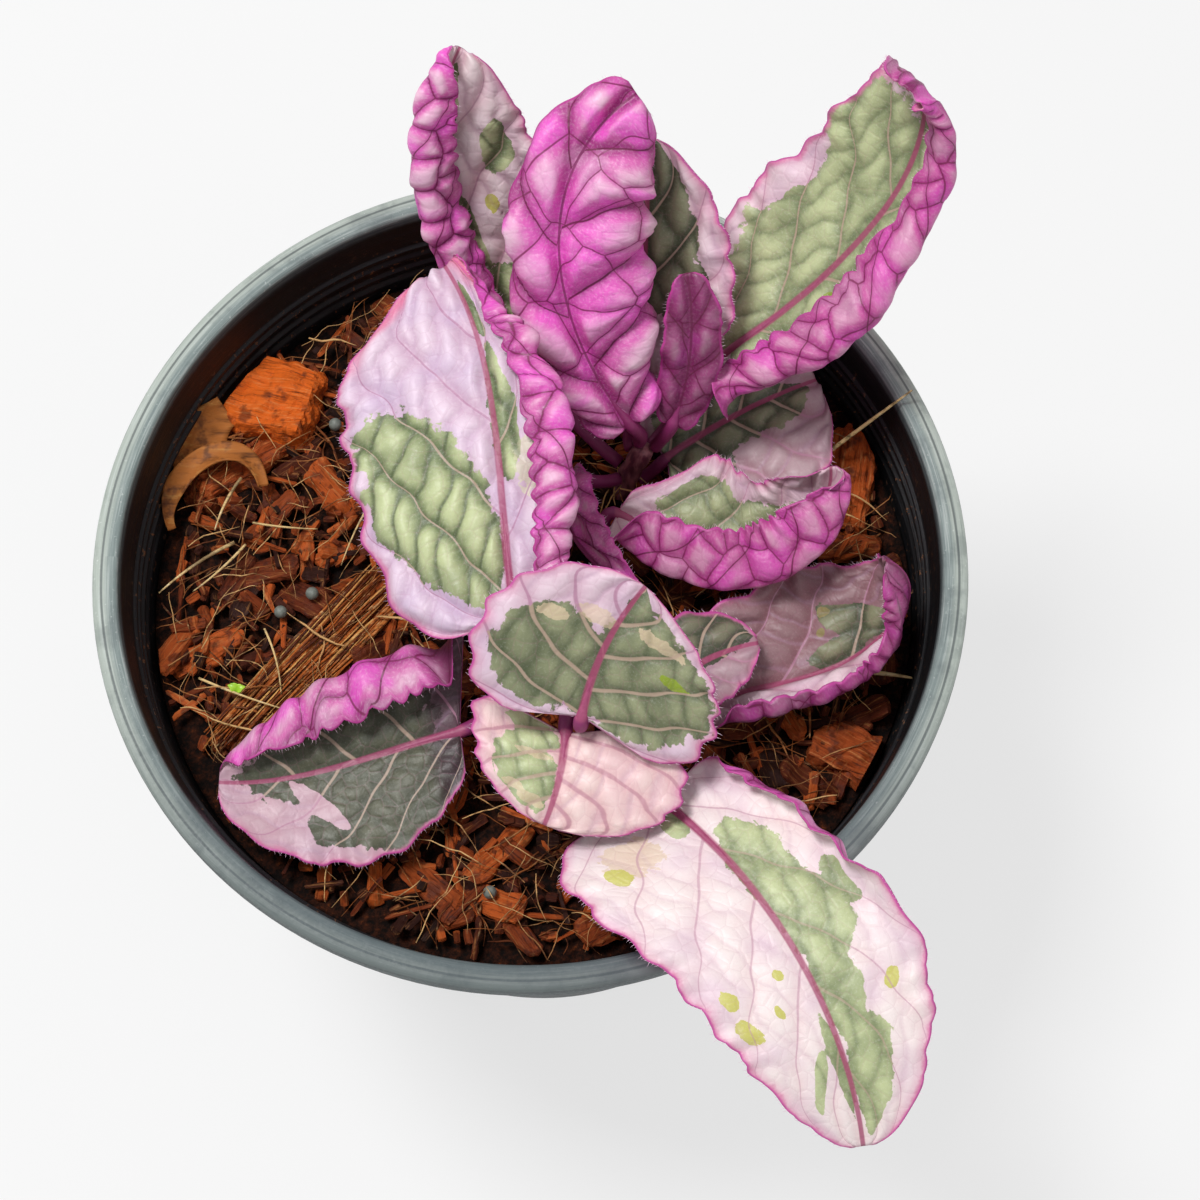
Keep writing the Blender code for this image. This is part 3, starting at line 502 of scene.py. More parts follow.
def blend(factor, one, two):
    """A colour between two others, which may be given by their codes."""
    inputs = {0: factor, 6: linear(one), 7: linear(two)}
    return node(tree_of(inputs.values()), "ShaderNodeMix", inputs, 2, data_type="RGBA")


def layered(colour, *layers):
    """A colour with others laid over it in turn, each given with how much of it shows."""
    for amount, over in layers:
        colour = blend(amount, colour, over)
    return colour


def noise(place, scale, detail=2.0, roughness=0.5, output=0):
    """A noise texture, mostly between 0.3 and 0.7."""
    inputs = {"Vector": place, "Scale": scale, "Detail": detail, "Roughness": roughness}
    return node(place.tree, "ShaderNodeTexNoise", inputs, output)


def cells(place, scale, randomness=1.0, feature="DISTANCE_TO_EDGE", output="Distance"):
    """A Voronoi texture in the plane: how far each place is from the edge of its cell."""
    inputs = {"Vector": place, "Scale": scale, "Randomness": randomness}
    return node(place.tree, "ShaderNodeTexVoronoi", inputs, output, voronoi_dimensions="2D", feature=feature)


def named(tree, name, kind="FLOAT_VECTOR"):
    """A mesh attribute, in a shader tree or in a geometry tree."""
    if tree.bl_idname == "ShaderNodeTree":
        output = "Vector" if kind == "FLOAT_VECTOR" else "Fac"
        return node(tree, "ShaderNodeAttribute", (), output, attribute_name=name)
    return node(tree, "GeometryNodeInputNamedAttribute", {"Name": name}, "Attribute", data_type=kind)


# Materials

def new_material(name):
    """A new node material and its tree."""
    made = bpy.data.materials.new(name)
    made.use_nodes = True
    return made, made.node_tree


def object_place(tree):
    """Where a place is on its object, in metres."""
    return node(tree, "ShaderNodeTexCoord", (), "Object")


def finish_material(made, colour, roughness, height=None, depth=0.0, strength=1.0, specular=0.5):
    """Give a material its colour and roughness, and bump from a height of 0 to 1 with its depth in mm."""
    tree = made.node_tree
    shader = tree.nodes["Principled BSDF"]
    join(tree, shader.inputs["Base Color"], linear(colour))
    join(tree, shader.inputs["Roughness"], roughness)
    shader.inputs["Specular IOR Level"].default_value = specular
    if height is not None:
        bump = node(tree, "ShaderNodeBump", {"Height": height, "Distance": depth * MM, "Strength": strength})
        join(tree, shader.inputs["Normal"], bump)
    return made


# Geometry trees

def geometry_tree(name, sizes):
    """A new geometry tree and its inputs by name: its geometry and sizes."""
    tree = bpy.data.node_groups.new(name, "GeometryNodeTree")
    tree.interface.new_socket("Geometry", in_out="INPUT", socket_type="NodeSocketGeometry")
    tree.interface.new_socket("Geometry", in_out="OUTPUT", socket_type="NodeSocketGeometry")
    for label in sizes:
        tree.interface.new_socket(label, in_out="INPUT", socket_type="NodeSocketFloat")
    return tree, {socket.name: Field(socket) for socket in tree.nodes.new("NodeGroupInput").outputs}


def close_tree(geometry, finish):
    """A tree's last steps: real geometry with its material."""
    tree = geometry.tree
    geometry = node(tree, "GeometryNodeRealizeInstances", {"Geometry": geometry})
    geometry = node(tree, "GeometryNodeSetMaterial", {"Geometry": geometry, "Material": finish})
    join(tree, tree.nodes.new("NodeGroupOutput").inputs[0], geometry)
    return tree


def grow(thing, tree, sizes):
    """Run a geometry tree on an object with its sizes set, and keep the result as a plain mesh."""
    modifier = thing.modifiers.new(tree.name, "NODES")
    modifier.node_group = tree
    for item in tree.interface.items_tree:
        if item.in_out == "INPUT" and item.name in sizes:
            modifier[item.identifier] = float(sizes[item.name])
    depsgraph = bpy.context.evaluated_depsgraph_get()
    result = bpy.data.meshes.new_from_object(thing.evaluated_get(depsgraph))
    thing.modifiers.remove(modifier)
    thing.data = result


def position(tree):
    """Where each point of a geometry is."""
    return node(tree, "GeometryNodeInputPosition")


def moved(geometry, value, way="Offset"):
    """Geometry with its points moved by an offset, or to a position."""
    return node(geometry.tree, "GeometryNodeSetPosition", {"Geometry": geometry, way: value})


def store(geometry, name, value):
    """Keep a number or a vector on each point under a name."""
    kind = "FLOAT_VECTOR" if is_vector(value) else "FLOAT"
    inputs = {"Geometry": geometry, "Name": name, "Value": value}
    return node(geometry.tree, "GeometryNodeStoreNamedAttribute", inputs, data_type=kind)


def scatter(points, instance, **inputs):
    """Real copies of an instance on points, with inputs such as their rotation and scale."""
    inputs.update(Points=points, Instance=instance)
    copies = node(points.tree, "GeometryNodeInstanceOnPoints", inputs)
    return node(points.tree, "GeometryNodeRealizeInstances", {"Geometry": copies})


def random_float(tree, low, high, seed):
    """One random number for each point."""
    return node(tree, "FunctionNodeRandomValue", {2: low, 3: high, "Seed": seed}, 1, data_type="FLOAT")


def random_vector(tree, low, high, seed):
    """Three random numbers for each point."""
    return node(tree, "FunctionNodeRandomValue", {0: low, 1: high, "Seed": seed}, data_type="FLOAT_VECTOR")


# Meshes

def mesh_object(name, points, faces, attributes=None, smooth=True):
    """A mesh object from points in millimetres, with its point attributes."""
    mesh = bpy.data.meshes.new(name)
    mesh.from_pydata((np.asarray(points, float) * MM).tolist(), [], faces)
    for key, values in (attributes or {}).items():
        values = np.asarray(values, np.float32)
        kind, slot = ("FLOAT_VECTOR", "vector") if values.ndim == 2 else ("FLOAT", "value")
        mesh.attributes.new(key, kind, "POINT").data.foreach_set(slot, values.ravel())
    if smooth:
        mesh.shade_smooth()
    made = bpy.data.objects.new(name, mesh)
    bpy.context.scene.collection.objects.link(made)
    return made


def finish_piece(piece, slot, *replaced):
    """The piece moves with the plant and stands for its solids; the slot is not used."""
    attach(piece, "root")
    if replaced:
        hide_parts(*replaced)


# Curves

def unit(vectors):
    """The vectors at length one."""
    return vectors / np.linalg.norm(vectors, axis=-1, keepdims=True)


def along(values, u):
    """Smooth value at each u between 0 and 1, through equally spaced values."""
    values = np.atleast_1d(np.asarray(values, float))
    if len(values) == 1:
        return np.full_like(u, values[0])
    x = np.clip(u, 0, 1) * (len(values) - 1)
    first = np.minimum(x.astype(int), len(values) - 2)
    share = x - first
    share = share * share * (3 - 2 * share)
    return values[first] * (1 - share) + values[first + 1] * share


def step(x):
    """A smooth step from 0 to 1 as x goes from 0 to 1."""
    x = np.clip(x, 0, 1)
    return x * x * (3 - 2 * x)


def smooth_path(points, count=200):
    """A polynomial curve through the points, with the length reached at each of its steps."""
    points = np.asarray(points, float)
    chord = np.r_[0, np.cumsum(np.linalg.norm(np.diff(points, axis=0), axis=1))]
    chord /= chord[-1]
    x = np.linspace(0, 1, count)
    fine = np.column_stack([np.polyval(np.polyfit(chord, points[:, k], len(points) - 1), x)
                            for k in range(3)])
    length = np.r_[0, np.cumsum(np.linalg.norm(np.diff(fine, axis=0), axis=1))]
    return fine, length


def point_along(fine, length, u):
    """Points and unit tangents at shares u of a fine curve's length."""
    at = u * length[-1]
    slope = np.gradient(fine, axis=0)
    point = np.column_stack([np.interp(at, length, fine[:, k]) for k in range(3)])
    tangent = unit(np.column_stack([np.interp(at, length, slope[:, k]) for k in range(3)]))
    return point, tangent


def ring_sides(rings, count, start=0):
    """Quads between closed rings of points."""
    return [(a + k, a + (k + 1) % count, a + count + (k + 1) % count, a + count + k)
            for a in range(start, start + (rings - 1) * count, count) for k in range(count)]


def ring_faces(rings, count, start=0):
    """Quads between closed rings of points, with the ends closed."""
    faces = ring_sides(rings, count, start)
    last = start + (rings - 1) * count
    faces.append(tuple(start + k for k in reversed(range(count))))
    faces.append(tuple(last + k for k in range(count)))
    return faces


# Leaves

def rib_frames(spec, u):
    """Midrib points with the unit vectors along it, to its right and out of the upper face."""
    point, tangent = point_along(*smooth_path(spec["rib"]), u)
    face = np.array(spec["face"], float)
    face = np.column_stack([along(face[:, k], u) for k in range(3)])
    right = unit(np.cross(tangent, face))
    return point, tangent, right, np.cross(right, tangent)


def outline(u, swell, narrow):
    """Half-width of the leaf's outline, as a share of its widest."""
    peak = swell / (swell + narrow)
    widest = peak ** swell * (1 - peak) ** narrow
    return u ** swell * (1 - u) ** narrow / widest


def half_width(spec, key, u):
    """Half-width of one side in millimetres."""
    half = np.maximum(along(spec[key]["half"], u) * outline(u, *spec["shape"]), PETIOLE_RADIUS)
    return half * (1 + SCALLOP * np.cos(2 * np.pi * spec["veins"] * u))


def half_blade(spec, key, sign, u, shares, rng):
    """Mid surface of one side as arcs that start at the midrib, its normals and its outward directions."""
    part = spec[key]
    point, tangent, right, normal = rib_frames(spec, u)
    half = half_width(spec, key, u)
    length = smooth_path(spec["rib"])[1][-1]
    roll = along(part["roll"], u) * np.clip(half / FULL_ROLL_WIDTH, 0, 1) * along((0, 1), u / ROLL_RISE)
    steps = (np.arange(ARC_STEPS) + 0.5) / ARC_STEPS * ARC_END
    start, end = part["bend"]
    turn = (np.radians(along(part["fold"], u))[:, None]
            + np.radians(roll)[:, None] * step((steps - start) / (end - start))[None, :])
    zero = np.zeros((len(u), 1))
    width = half[:, None] * ARC_END / ARC_STEPS
    across = np.concatenate([zero, np.cumsum(np.cos(turn), 1) * width], 1)
    lift = np.concatenate([zero, np.cumsum(np.sin(turn), 1) * width], 1)
    at = np.linspace(0, ARC_END, ARC_STEPS + 1)
    wander = np.interp(u, np.linspace(0, 1, 9), rng.uniform(-0.5, 0.5, 9))
    curled_margin = step((np.abs(np.degrees(turn[:, -1])) - CURLED_FROM) / (CURLED_BY - CURLED_FROM))
    depth = TOOTH_DEPTH + (CURLED_TOOTH_DEPTH - TOOTH_DEPTH) * curled_margin
    teeth = np.abs(np.sin(np.pi * (length * u / TOOTH_LENGTH + 2 * wander))) * depth * (1 + wander) / half
    ruffle = np.sin(2 * np.pi * length * u / RUFFLE_LENGTH + 9 * wander) * RUFFLE_HEIGHT * np.sin(np.pi * u)
    grid = np.zeros((len(u), len(shares), 3))
    facing = np.zeros_like(grid)
    outward = np.zeros_like(grid)
    curled = np.zeros(grid.shape[:2])
    for c, share in enumerate(shares):
        reach = share + teeth * step((share - 0.8) / 0.2)
        sideways = np.array([np.interp(r, at, row) for r, row in zip(reach, across)])
        upward = np.array([np.interp(r, at, row) for r, row in zip(reach, lift)])
        back = part["lobe"] * half * share ** LOBE_POWER * (1 - u) ** 3
        slope = turn[:, min(int(share / ARC_END * ARC_STEPS), ARC_STEPS - 1)][:, None]
        curled[:, c] = step((np.degrees(np.abs(slope[:, 0])) - CURLED_FROM) / (CURLED_BY - CURLED_FROM))
        facing[:, c] = normal * np.cos(slope) - sign * right * np.sin(slope)
        outward[:, c] = sign * right * np.cos(slope) + normal * np.sin(slope)
        wave = ruffle * step((share - 0.6) / 0.4)
        grid[:, c] = (point + sign * right * sideways[:, None] + normal * upward[:, None]
                      - tangent * back[:, None] + facing[:, c] * wave[:, None])
    return grid, facing, outward, curled


def patch_field(patches, u, t):
    """How deep inside the nearest patch each place lies: above 0 inside, below 0 outside."""
    field = np.full(u.shape, -1.0)
    for t0, u0, half_t, half_u, lean in patches:
        du = u - u0 - lean * (t - t0)
        field = np.maximum(field, 1 - np.sqrt(((t - t0) / half_t) ** 2 + (du / half_u) ** 2))
    return field


def vein_count(spec):
    """Strong side veins on each side."""
    return spec["look"]["lines"] or max(3, round(VEIN_SHARE * spec["veins"]))


def curled_parts(spec):
    """How much cells and rows show on the curled parts: whole undersides have rows, rolled margins cells."""
    return (0.35, 0.9) if spec["look"]["whole"] else (0.9, 0.35)


def blade_shell(name, spec, rng):
    """The blade as one closed shell of rings, upper face then lower face, with what its trees read."""
    look = spec["look"]
    length = smooth_path(spec["rib"])[1][-1]
    rows = int(length / BLADE_STEP)
    u = np.linspace(0.0, BLADE_END, rows)
    halves = []
    for key, sign in (("left", -1), ("right", 1)):
        width = half_width(spec, key, u)
        count = max(int(width.max() / BLADE_STEP), 8)
        shares = np.r_[RIB_HALF_WIDTH / width.max(), np.linspace(0, 1, count)[1:]]
        grids = half_blade(spec, key, sign, u, shares, rng)
        halves.append((sign * shares[None], *grids, np.broadcast_to(width[:, None], grids[0].shape[:2])))
    t, mid, facing, outward, curled, half = (
        np.concatenate([left[:, ::-1], right], axis=1) for left, right in zip(*halves))
    tt, uu = np.meshgrid(t[0], u)
    margin = half * (1 - np.abs(tt))
    phase = vein_count(spec) * (uu - look["slant"] * np.abs(tt) ** VEIN_CURVE) + VEIN_STAGGER * (tt > 0)
    green, pink, peach, yellow = (
        patch_field(look[key], uu, tt) for key in ("green", "pink", "peach", "yellow"))
    grids = {
        "place": np.stack([half * tt, length * uu, phase], -1),
        "share": np.stack([tt, uu, margin], -1),
        "field": np.stack([np.minimum(green, -pink), peach, yellow], -1),
        "curled": np.ones_like(curled) if look["whole"] else curled,
        "way": facing,
        "outward": outward,
    }

    def rings(grid_up, grid_low):
        """Each row as one ring: the upper face from left to right, the lower one back."""
        both = np.concatenate([grid_up, grid_low[:, ::-1]], axis=1)
        return both.reshape(-1, *both.shape[2:])

    thick = MARGIN_THICKNESS + (BLADE_THICKNESS - MARGIN_THICKNESS) * step(margin / THINNING_WIDTH)
    offset = facing * thick[..., None] / 2
    points = rings(mid + offset, mid - offset)
    attributes = {key: rings(value, value) for key, value in grids.items()}
    attributes["upper"] = rings(np.ones_like(tt), np.zeros_like(tt))
    attributes["edge"] = rings((np.abs(tt) == 1).astype(float), np.zeros_like(tt))
    count = tt.shape[1]
    faces = ring_sides(rows, 2 * count)
    last = (rows - 1) * 2 * count
    for k in range(count - 1):
        low = 2 * count - 1 - k
        faces.append((k + 1, k, low, low - 1))
        faces.append((last + k, last + k + 1, last + low - 1, last + low))
    return mesh_object(name, points, faces, attributes)


def petiole_curve(spec):
    """Four control points from just off the stem's skin to the blade's base."""
    base, tangent, _, _ = (v[0] for v in rib_frames(spec, np.array([0.0, 0.01])))
    stem, share, aside = spec["root"]
    root, way = (v[0] for v in point_along(*smooth_path(STEM_PATHS[stem]), np.array([share, 1.0])))
    reach = base - root
    distance = np.linalg.norm(reach)
    if share < 1:
        out = unit(reach - way * (reach @ way))
        start = root + out * (STEM_RADIUS * (1 - STEM_TAPER * share) + PETIOLE_CLEARANCE)
    else:
        out = unit(way)
        sideways = np.array([1.0, 0.0, 0.0])
        start = root + out * PETIOLE_CLEARANCE + aside * unit(sideways - out * (sideways @ out))
    return np.array([start, start + out * LEAVE_SHARE * distance,
                     base - tangent * ARRIVE_SHARE * distance, base])


def rib_tube(name, spec):
    """The petiole and the midrib as one round tube that tapers to the tip."""
    bends = petiole_curve(spec)
    x = np.linspace(0, 1, 14)[:-1, None]
    stalk = ((1 - x) ** 3 * bends[0] + 3 * x * (1 - x) ** 2 * bends[1]
             + 3 * x ** 2 * (1 - x) * bends[2] + x ** 3 * bends[3])
    u = np.linspace(0, RIB_END, 60)
    point, _, _, normal = rib_frames(spec, u)
    radius_blade = (0.2 + 0.5 * (1 - u) ** 1.2) * spec["look"]["rib"]
    point = point - normal * (0.35 * radius_blade)[:, None]
    path = np.concatenate([stalk, point])
    radius_blade = radius_blade + (PETIOLE_RADIUS - radius_blade) * (1 - u) ** 12
    radius = np.r_[np.full(len(stalk), PETIOLE_RADIUS), radius_blade]
    ahead = unit(np.gradient(path, axis=0))
    over = np.concatenate([np.broadcast_to(normal[0], stalk.shape), normal])
    sideways = unit(np.cross(ahead, over))
    over = np.cross(sideways, ahead)
    angle = np.arange(RIB_SIDES) * 2 * math.pi / RIB_SIDES
    circle = sideways[:, None] * np.cos(angle)[None, :, None] - over[:, None] * np.sin(angle)[None, :, None]
    points = path[:, None] + circle * radius[:, None, None]
    reached = np.r_[0, np.cumsum(np.linalg.norm(np.diff(path, axis=0), axis=1))]
    upper = np.r_[np.full(len(stalk), 0.0), np.full(len(u), 1.0)][:, None] * (-np.sin(angle))[None, :]
    attributes = {"upper": (0.5 + 0.5 * upper).ravel(), "run": np.repeat(reached / reached[-1], RIB_SIDES)}
    return mesh_object(name, points.reshape(-1, 3), ring_faces(len(path), RIB_SIDES), attributes)


def round_top(off, half=0.5):
    """0 where off is 0, rising in a round curve to 1 where off is half or more."""
    low = 1.0 - reckon("MINIMUM", off / half, 1.0)
    return 1.0 - low * low


def waffle_pattern(place, margin, curled, spacing, cell, parts):
    """Distances from the midrib, a side vein and a crease in millimetres, and the pillows' height, 0 to 1.

    Flat parts have rows of pleats between the side veins, and curled parts have rounded cells. The two parts
    are how much the cells and the rows show on what is curled.
    """
    x, y, phase = split(place)
    flat = merge(x, y)
    rib = abs(x)
    phase = phase + (noise(flat, 0.1, 1.0) * 0.3 - 0.15)
    off = abs(phase - round(phase))
    vein = off * (spacing * 0.72)
    shift = node(place.tree, "ShaderNodeTexWhiteNoise", {"W": reckon("FLOOR", phase)}, noise_dimensions="1D")
    run = (y * 0.45 + rib) / PILLOW_PITCH + shift + noise(flat, 0.11, 1.0) * 1.7
    aside = abs(run - round(run))
    rows = round_top(off)
    pleats = rows * (round_top(aside) * 0.65 + 0.35)
    bent = (noise(flat, 0.13, 1.0, output="Color") - (0.5, 0.5, 0.5)) * (2.6, 2.6, 0.0)
    rim = cells(flat + bent, 1.0 / cell, randomness=0.9)
    domes = mixed(parts[0], 1.0, round_top(rim, 0.36)) * mixed(parts[1], 1.0, rows)
    crease = mixed(curled, aside * PILLOW_PITCH, rim * cell)
    height = mixed(curled, pleats, domes) + (noise(flat, 0.7, 2.0) * 0.2 - 0.1)
    height = height * ease(rib, 0.2, 2.4, 1.0, 0.1) * ease(margin, 0.0, 2.5, 1.0, 0.35)
    return rib, vein, crease, height, flat


def build_relief_tree(hair):
    """Pillows pressed into both faces of a blade, and fine hairs along its margin."""
    sizes = ["Pillow Depth", "Sense", "Vein Spacing", "Cell", "Cell Part", "Row Part",
             "Hair Length", "Hair Share", "Seed"]
    tree, given = geometry_tree("waffle_relief", sizes)
    seed = given["Seed"]
    curled = named(tree, "curled", "FLOAT")
    margin = split(named(tree, "share"))[2]
    height = waffle_pattern(named(tree, "place"), margin, curled, given["Vein Spacing"], given["Cell"],
                            (given["Cell Part"], given["Row Part"]))[3]
    depth = height * given["Pillow Depth"] * (mixed(curled, given["Sense"], -1.0) * MM)
    blade = moved(given["Geometry"], named(tree, "way") * depth)
    at_edge = reckon("GREATER_THAN", named(tree, "edge", "FLOAT"), 0.5)
    chosen = node(tree, "FunctionNodeRandomValue", {"Probability": given["Hair Share"], "Seed": seed}, 3,
                  data_type="BOOLEAN")
    on_edge = node(tree, "FunctionNodeBooleanMath", {0: at_edge, 1: chosen}, operation="AND")
    cone = node(tree, "GeometryNodeMeshCone",
                {"Vertices": 3, "Radius Top": 0.0, "Radius Bottom": HAIR_RADIUS * MM, "Depth": MM}, "Mesh")
    aim = named(tree, "outward") + random_vector(tree, (-0.5, -0.5, -0.5), (0.5, 0.5, 0.5), seed)
    turn = node(tree, "FunctionNodeAlignRotationToVector", {"Vector": aim}, axis="Z")
    size = merge(1.0, 1.0, random_float(tree, 0.5, 1.3, seed) * given["Hair Length"])
    hairs = scatter(blade, cone, Selection=on_edge, Rotation=turn, Scale=size)
    hairs = node(tree, "GeometryNodeSetMaterial", {"Geometry": hairs, "Material": hair})
    whole = tree.nodes.new("GeometryNodeJoinGeometry")
    join(tree, whole.inputs[0], hairs)
    join(tree, whole.inputs[0], blade)
    join(tree, tree.nodes.new("NodeGroupOutput").inputs[0], Field(whole.outputs[0]))
    return tree


def blade_fields(tree, spec, spacing):
    """What a blade's colours are made from: places on it, its pattern, its noises and the painted shade at
    its base.
    """
    t, u, margin = split(named(tree, "share"))
    curled = named(tree, "curled", "FLOAT")
    rib, vein, crease, height, flat = waffle_pattern(
        named(tree, "place"), margin, curled, spacing, spec["look"]["cell"], curled_parts(spec))
    return SimpleNamespace(
        t=t, u=u, margin=margin, rib=rib, vein=vein, crease=crease, height=height, flat=flat,
        mottle=noise(flat, 0.5, 5.0, 0.65), grainy=noise(flat, 2.4, 3.0, 0.7), net=cells(flat, 0.42),
        # painted shade: how far the blade's base is darkened, by the leaf's base amount
        base=ease(u, 0.18, 0.08, spec["look"]["base"]))


def upper_colour(tree, look, on):
    """Upper face: green and blush painted lighter on the crests, then patches, painted shade at the base and
    in the creases, specks of painted glint, veins, and painted shade on leaves in shade.
    """
    dark, painted_shade, warm, white, rim = (look[key] for key in ("dark", "painted_shade", "warm", "white", "rim"))
    green_field, peach_field, spot_field = split(named(tree, "field"))
    broad = noise(on.flat, 0.09, 2.0)
    block = split(cells(on.flat, 0.8, feature="F1", output="Color"))[0]
    ragged = (noise(on.flat, 0.45, 4.0, 0.6) * 0.9 - 0.45) + (block * 0.2 - 0.1)

    def inside(field, amount):
        """1 within a patch, 0 outside, with a ragged border."""
        return ease(ragged * amount + field, -0.02, 0.02)

    in_green = inside(green_field, 0.55)
    # painted light and shade: pillow crests painted lighter and valleys darker by their height, less so on a
    # leaf with a soft look; mottle adds the leaf's own patchiness
    shown = mixed(look["soft"], on.height, 0.62 - 0.3 * dark)
    lit = ease(on.mottle * 0.6 + shown, 0.35, 1.2)
    deep_green = between(dark, "5C6B46", "3C4032")
    green = layered(deep_green, (lit, between(dark, "C4CD9C", "787760")),
                    (ease(broad, 0.45, 0.7, 0.5), deep_green))
    blush = layered(between(white, between(warm, "C9A8C2", "D8A4A8"), "EDD6D4"),
                    (lit, between(white, between(warm, "E2CBDE", "F2D8D4"), "F4EAE6")),
                    (ease(broad, 0.4, 0.7, 0.6), between(warm, "CAB4D6", "E0B6BC")),
                    (ease(on.margin, 2.5, 0.2, 0.6), "DFA3BD"),
                    (ease(on.u, 0.72, 0.92) * ease(on.margin, 4.5, 1.5, look["tip"]), "DE7FA2"),
                    # painted shade: dark mauve over the side of a leaf that lies in shade, none on a lit side
                    (ease(on.t, 0.25, -0.05, painted_shade, 0.0 if look["lit_side"] else painted_shade), "744648"))
    # painted shade in the creases: how strong it is, more on green, by the leaf's crease amount
    crease_shade_strength = mixed(in_green, 0.22 - 0.12 * white, look["crease"])
    line = blend(in_green, between(warm, "AF7C9E", "C08C9A"), "BAA08E")
    return layered(blush,
                   (in_green, green),
                   (inside(peach_field, 1.5) * 0.65, look["cream"]),
                   (inside(spot_field, 0.9), look["spot"]),
                   # painted shade at the blade's base
                   (on.base, "3E2A34"),
                   # painted shade in the creases between pillows
                   (ease(on.crease, 0.8, 0.05) * crease_shade_strength, blend(in_green, "B494B0", "4C5638")),
                   (ease(on.net, 0.06, 0.0, 0.12), "B06A88"),
                   # painted glints: fine pale specks
                   (ease(on.grainy, 0.5, 0.72, 0.16 - 0.1 * dark), "F4F2EC"),
                   (ease(on.vein / (abs(on.t) * -0.7 + 1.2), 0.3, 0.12, 0.8 - 0.35 * white), line),
                   (ease(on.margin + (on.mottle * 2.0 - 1.0), rim + 0.9, rim, 0.75), "D2709F"),
                   (ease(on.rib / (on.u * -0.6 + 1.15), 0.85, 0.45, 0.85), "A2426A"))


def lower_colour(look, on):
    """Lower face: pillows from magenta to lilac, darker low and lighter high as painted shade and highlight,
    then painted glow, specks of painted glint, creases, veins, midrib and painted shade.
    """
    glow = noise(on.flat, 0.11, 2.0)
    heart = ease(on.u, 0.15, 0.4) * ease(on.u, 0.85, 0.6, look["heart"]) * ease(abs(on.t), 0.8, 0.3)
    thin = look["rib"]
    # painted shade and highlight: pillows darker magenta low in their creases and lighter high on their
    # crowns; the pale lilac on the crowns is partly their own colour and partly painted highlight
    return layered(blend(ease(on.height, 0.05, 0.6), "9C2878", "D868B0"),
                   (ease(on.height, 0.55, 1.0, look["crown"]), "EFCCDC"),
                   # painted glow: bright magenta patches for light shining through the blade, muted lilac
                   # where it is dimmer
                   (ease(glow, 0.5, 0.62, 0.8), "EE58CC"),
                   (ease(glow, 0.45, 0.34, 0.55), "CFA0BC"),
                   (heart, "F45CD0"),
                   (ease(on.mottle, 0.5, 0.7, 0.25), "B458A0"),
                   # painted glints: fine pale specks
                   (ease(on.grainy, 0.45, 0.7, 0.2), "FBE9F4"),
                   (ease(on.net, 0.07, 0.02, 0.1), "9A3478"),
                   (look["deep"], "A82A74"),
                   (ease(on.crease, 0.9, 0.1, 0.25), "A8388A"),
                   (ease(on.crease, 0.17, 0.05, 0.85), "781A4C"),
                   (ease(on.vein, 1.2, 0.1, 0.3), "922A70"),
                   (ease(on.vein, 0.18, 0.07, 0.9), "6C1644"),
                   (ease(on.rib, thin, 0.5 * thin, 0.8), "7A2058"),
                   # painted shade: dark magenta at the blade's base and over the underside of a leaf that
                   # lies in shade
                   (reckon("MAXIMUM", on.base, 0.6 * look["painted_shade"]), "5A1838"))


def blade_material(name, spec, spacing):
    """Green and pink above, magenta and lilac below, parted by fine veins."""
    made, tree = new_material(name)
    on = blade_fields(tree, spec, spacing)
    colour = layered(lower_colour(spec["look"], on),
                     (ease(named(tree, "upper", "FLOAT"), 0.3, 0.7), upper_colour(tree, spec["look"], on)),
                     (ease(on.margin, 0.55, 0.1, 0.85), "C2479A"))
    roughness = ease(on.mottle, 0.3, 0.7, 0.38, 0.5)
    relief = on.grainy + ease(on.net, 0.0, 0.2, 0.6)
    return finish_material(made, colour, roughness, relief, 0.08, 0.8, specular=0.45)


def rib_material():
    """Petioles and midribs: dark magenta under and at the stem, dusty pink on the upper face."""
    made, tree = new_material("leaf_rib")
    place = object_place(tree)
    speckle = noise(place, 900.0, 3.0)
    colour = layered(blend(speckle, "7C1F5C", "96386F"),
                     (ease(named(tree, "upper", "FLOAT"), 0.55, 0.8), blend(speckle, "8E345C", "B4587E")),
                     (ease(named(tree, "run", "FLOAT"), 0.3, 0.0, 0.7), "7A1E50"))
    return finish_material(made, colour, 0.5, noise(place, 2500.0, 2.0), 0.1, 0.6)


def build_leaves():
    """Every leaf: its blade shell with relief and hairs, and its petiole and midrib, as one piece."""
    hair = finish_material(new_material("leaf_hair")[0], "F0CFE2", 0.6)
    rib_finish = rib_material()
    tree = build_relief_tree(hair)
    for number, (name, spec) in enumerate(LEAVES.items()):
        look = spec["look"]
        spacing = smooth_path(spec["rib"])[1][-1] / vein_count(spec)
        blade = blade_shell(name + "_fine", spec, np.random.default_rng(100 + number))
        blade.data.materials.append(blade_material(name + "_skin", spec, spacing))
        cell_part, row_part = curled_parts(spec)
        grow(blade, tree, {"Pillow Depth": spec["waffle"] * look["swell"], "Sense": look["sense"],
                           "Vein Spacing": spacing, "Cell": look["cell"], "Cell Part": cell_part,
                           "Row Part": row_part, "Hair Length": HAIR_LENGTH, "Hair Share": HAIR_SHARE,
                           "Seed": number})
        tube = rib_tube(name + "_rib", spec)
        tube.data.materials.append(rib_finish)
        with bpy.context.temp_override(active_object=blade, selected_editable_objects=[blade, tube]):
            bpy.ops.object.join()
        finish_piece(blade, "leaf_blade", name)


# Stems

def stem_material():
    """Young stem: pinkish brown with darker streaks along it."""
    made, tree = new_material("stem_bark")
    streak = noise(object_place(tree) * (900.0, 900.0, 120.0), 1.0, 3.0)
    colour = blend(ease(streak, 0.35, 0.65), "5E2438", "A0626A")
    return finish_material(made, colour, 0.55, streak, 0.15, 0.7)


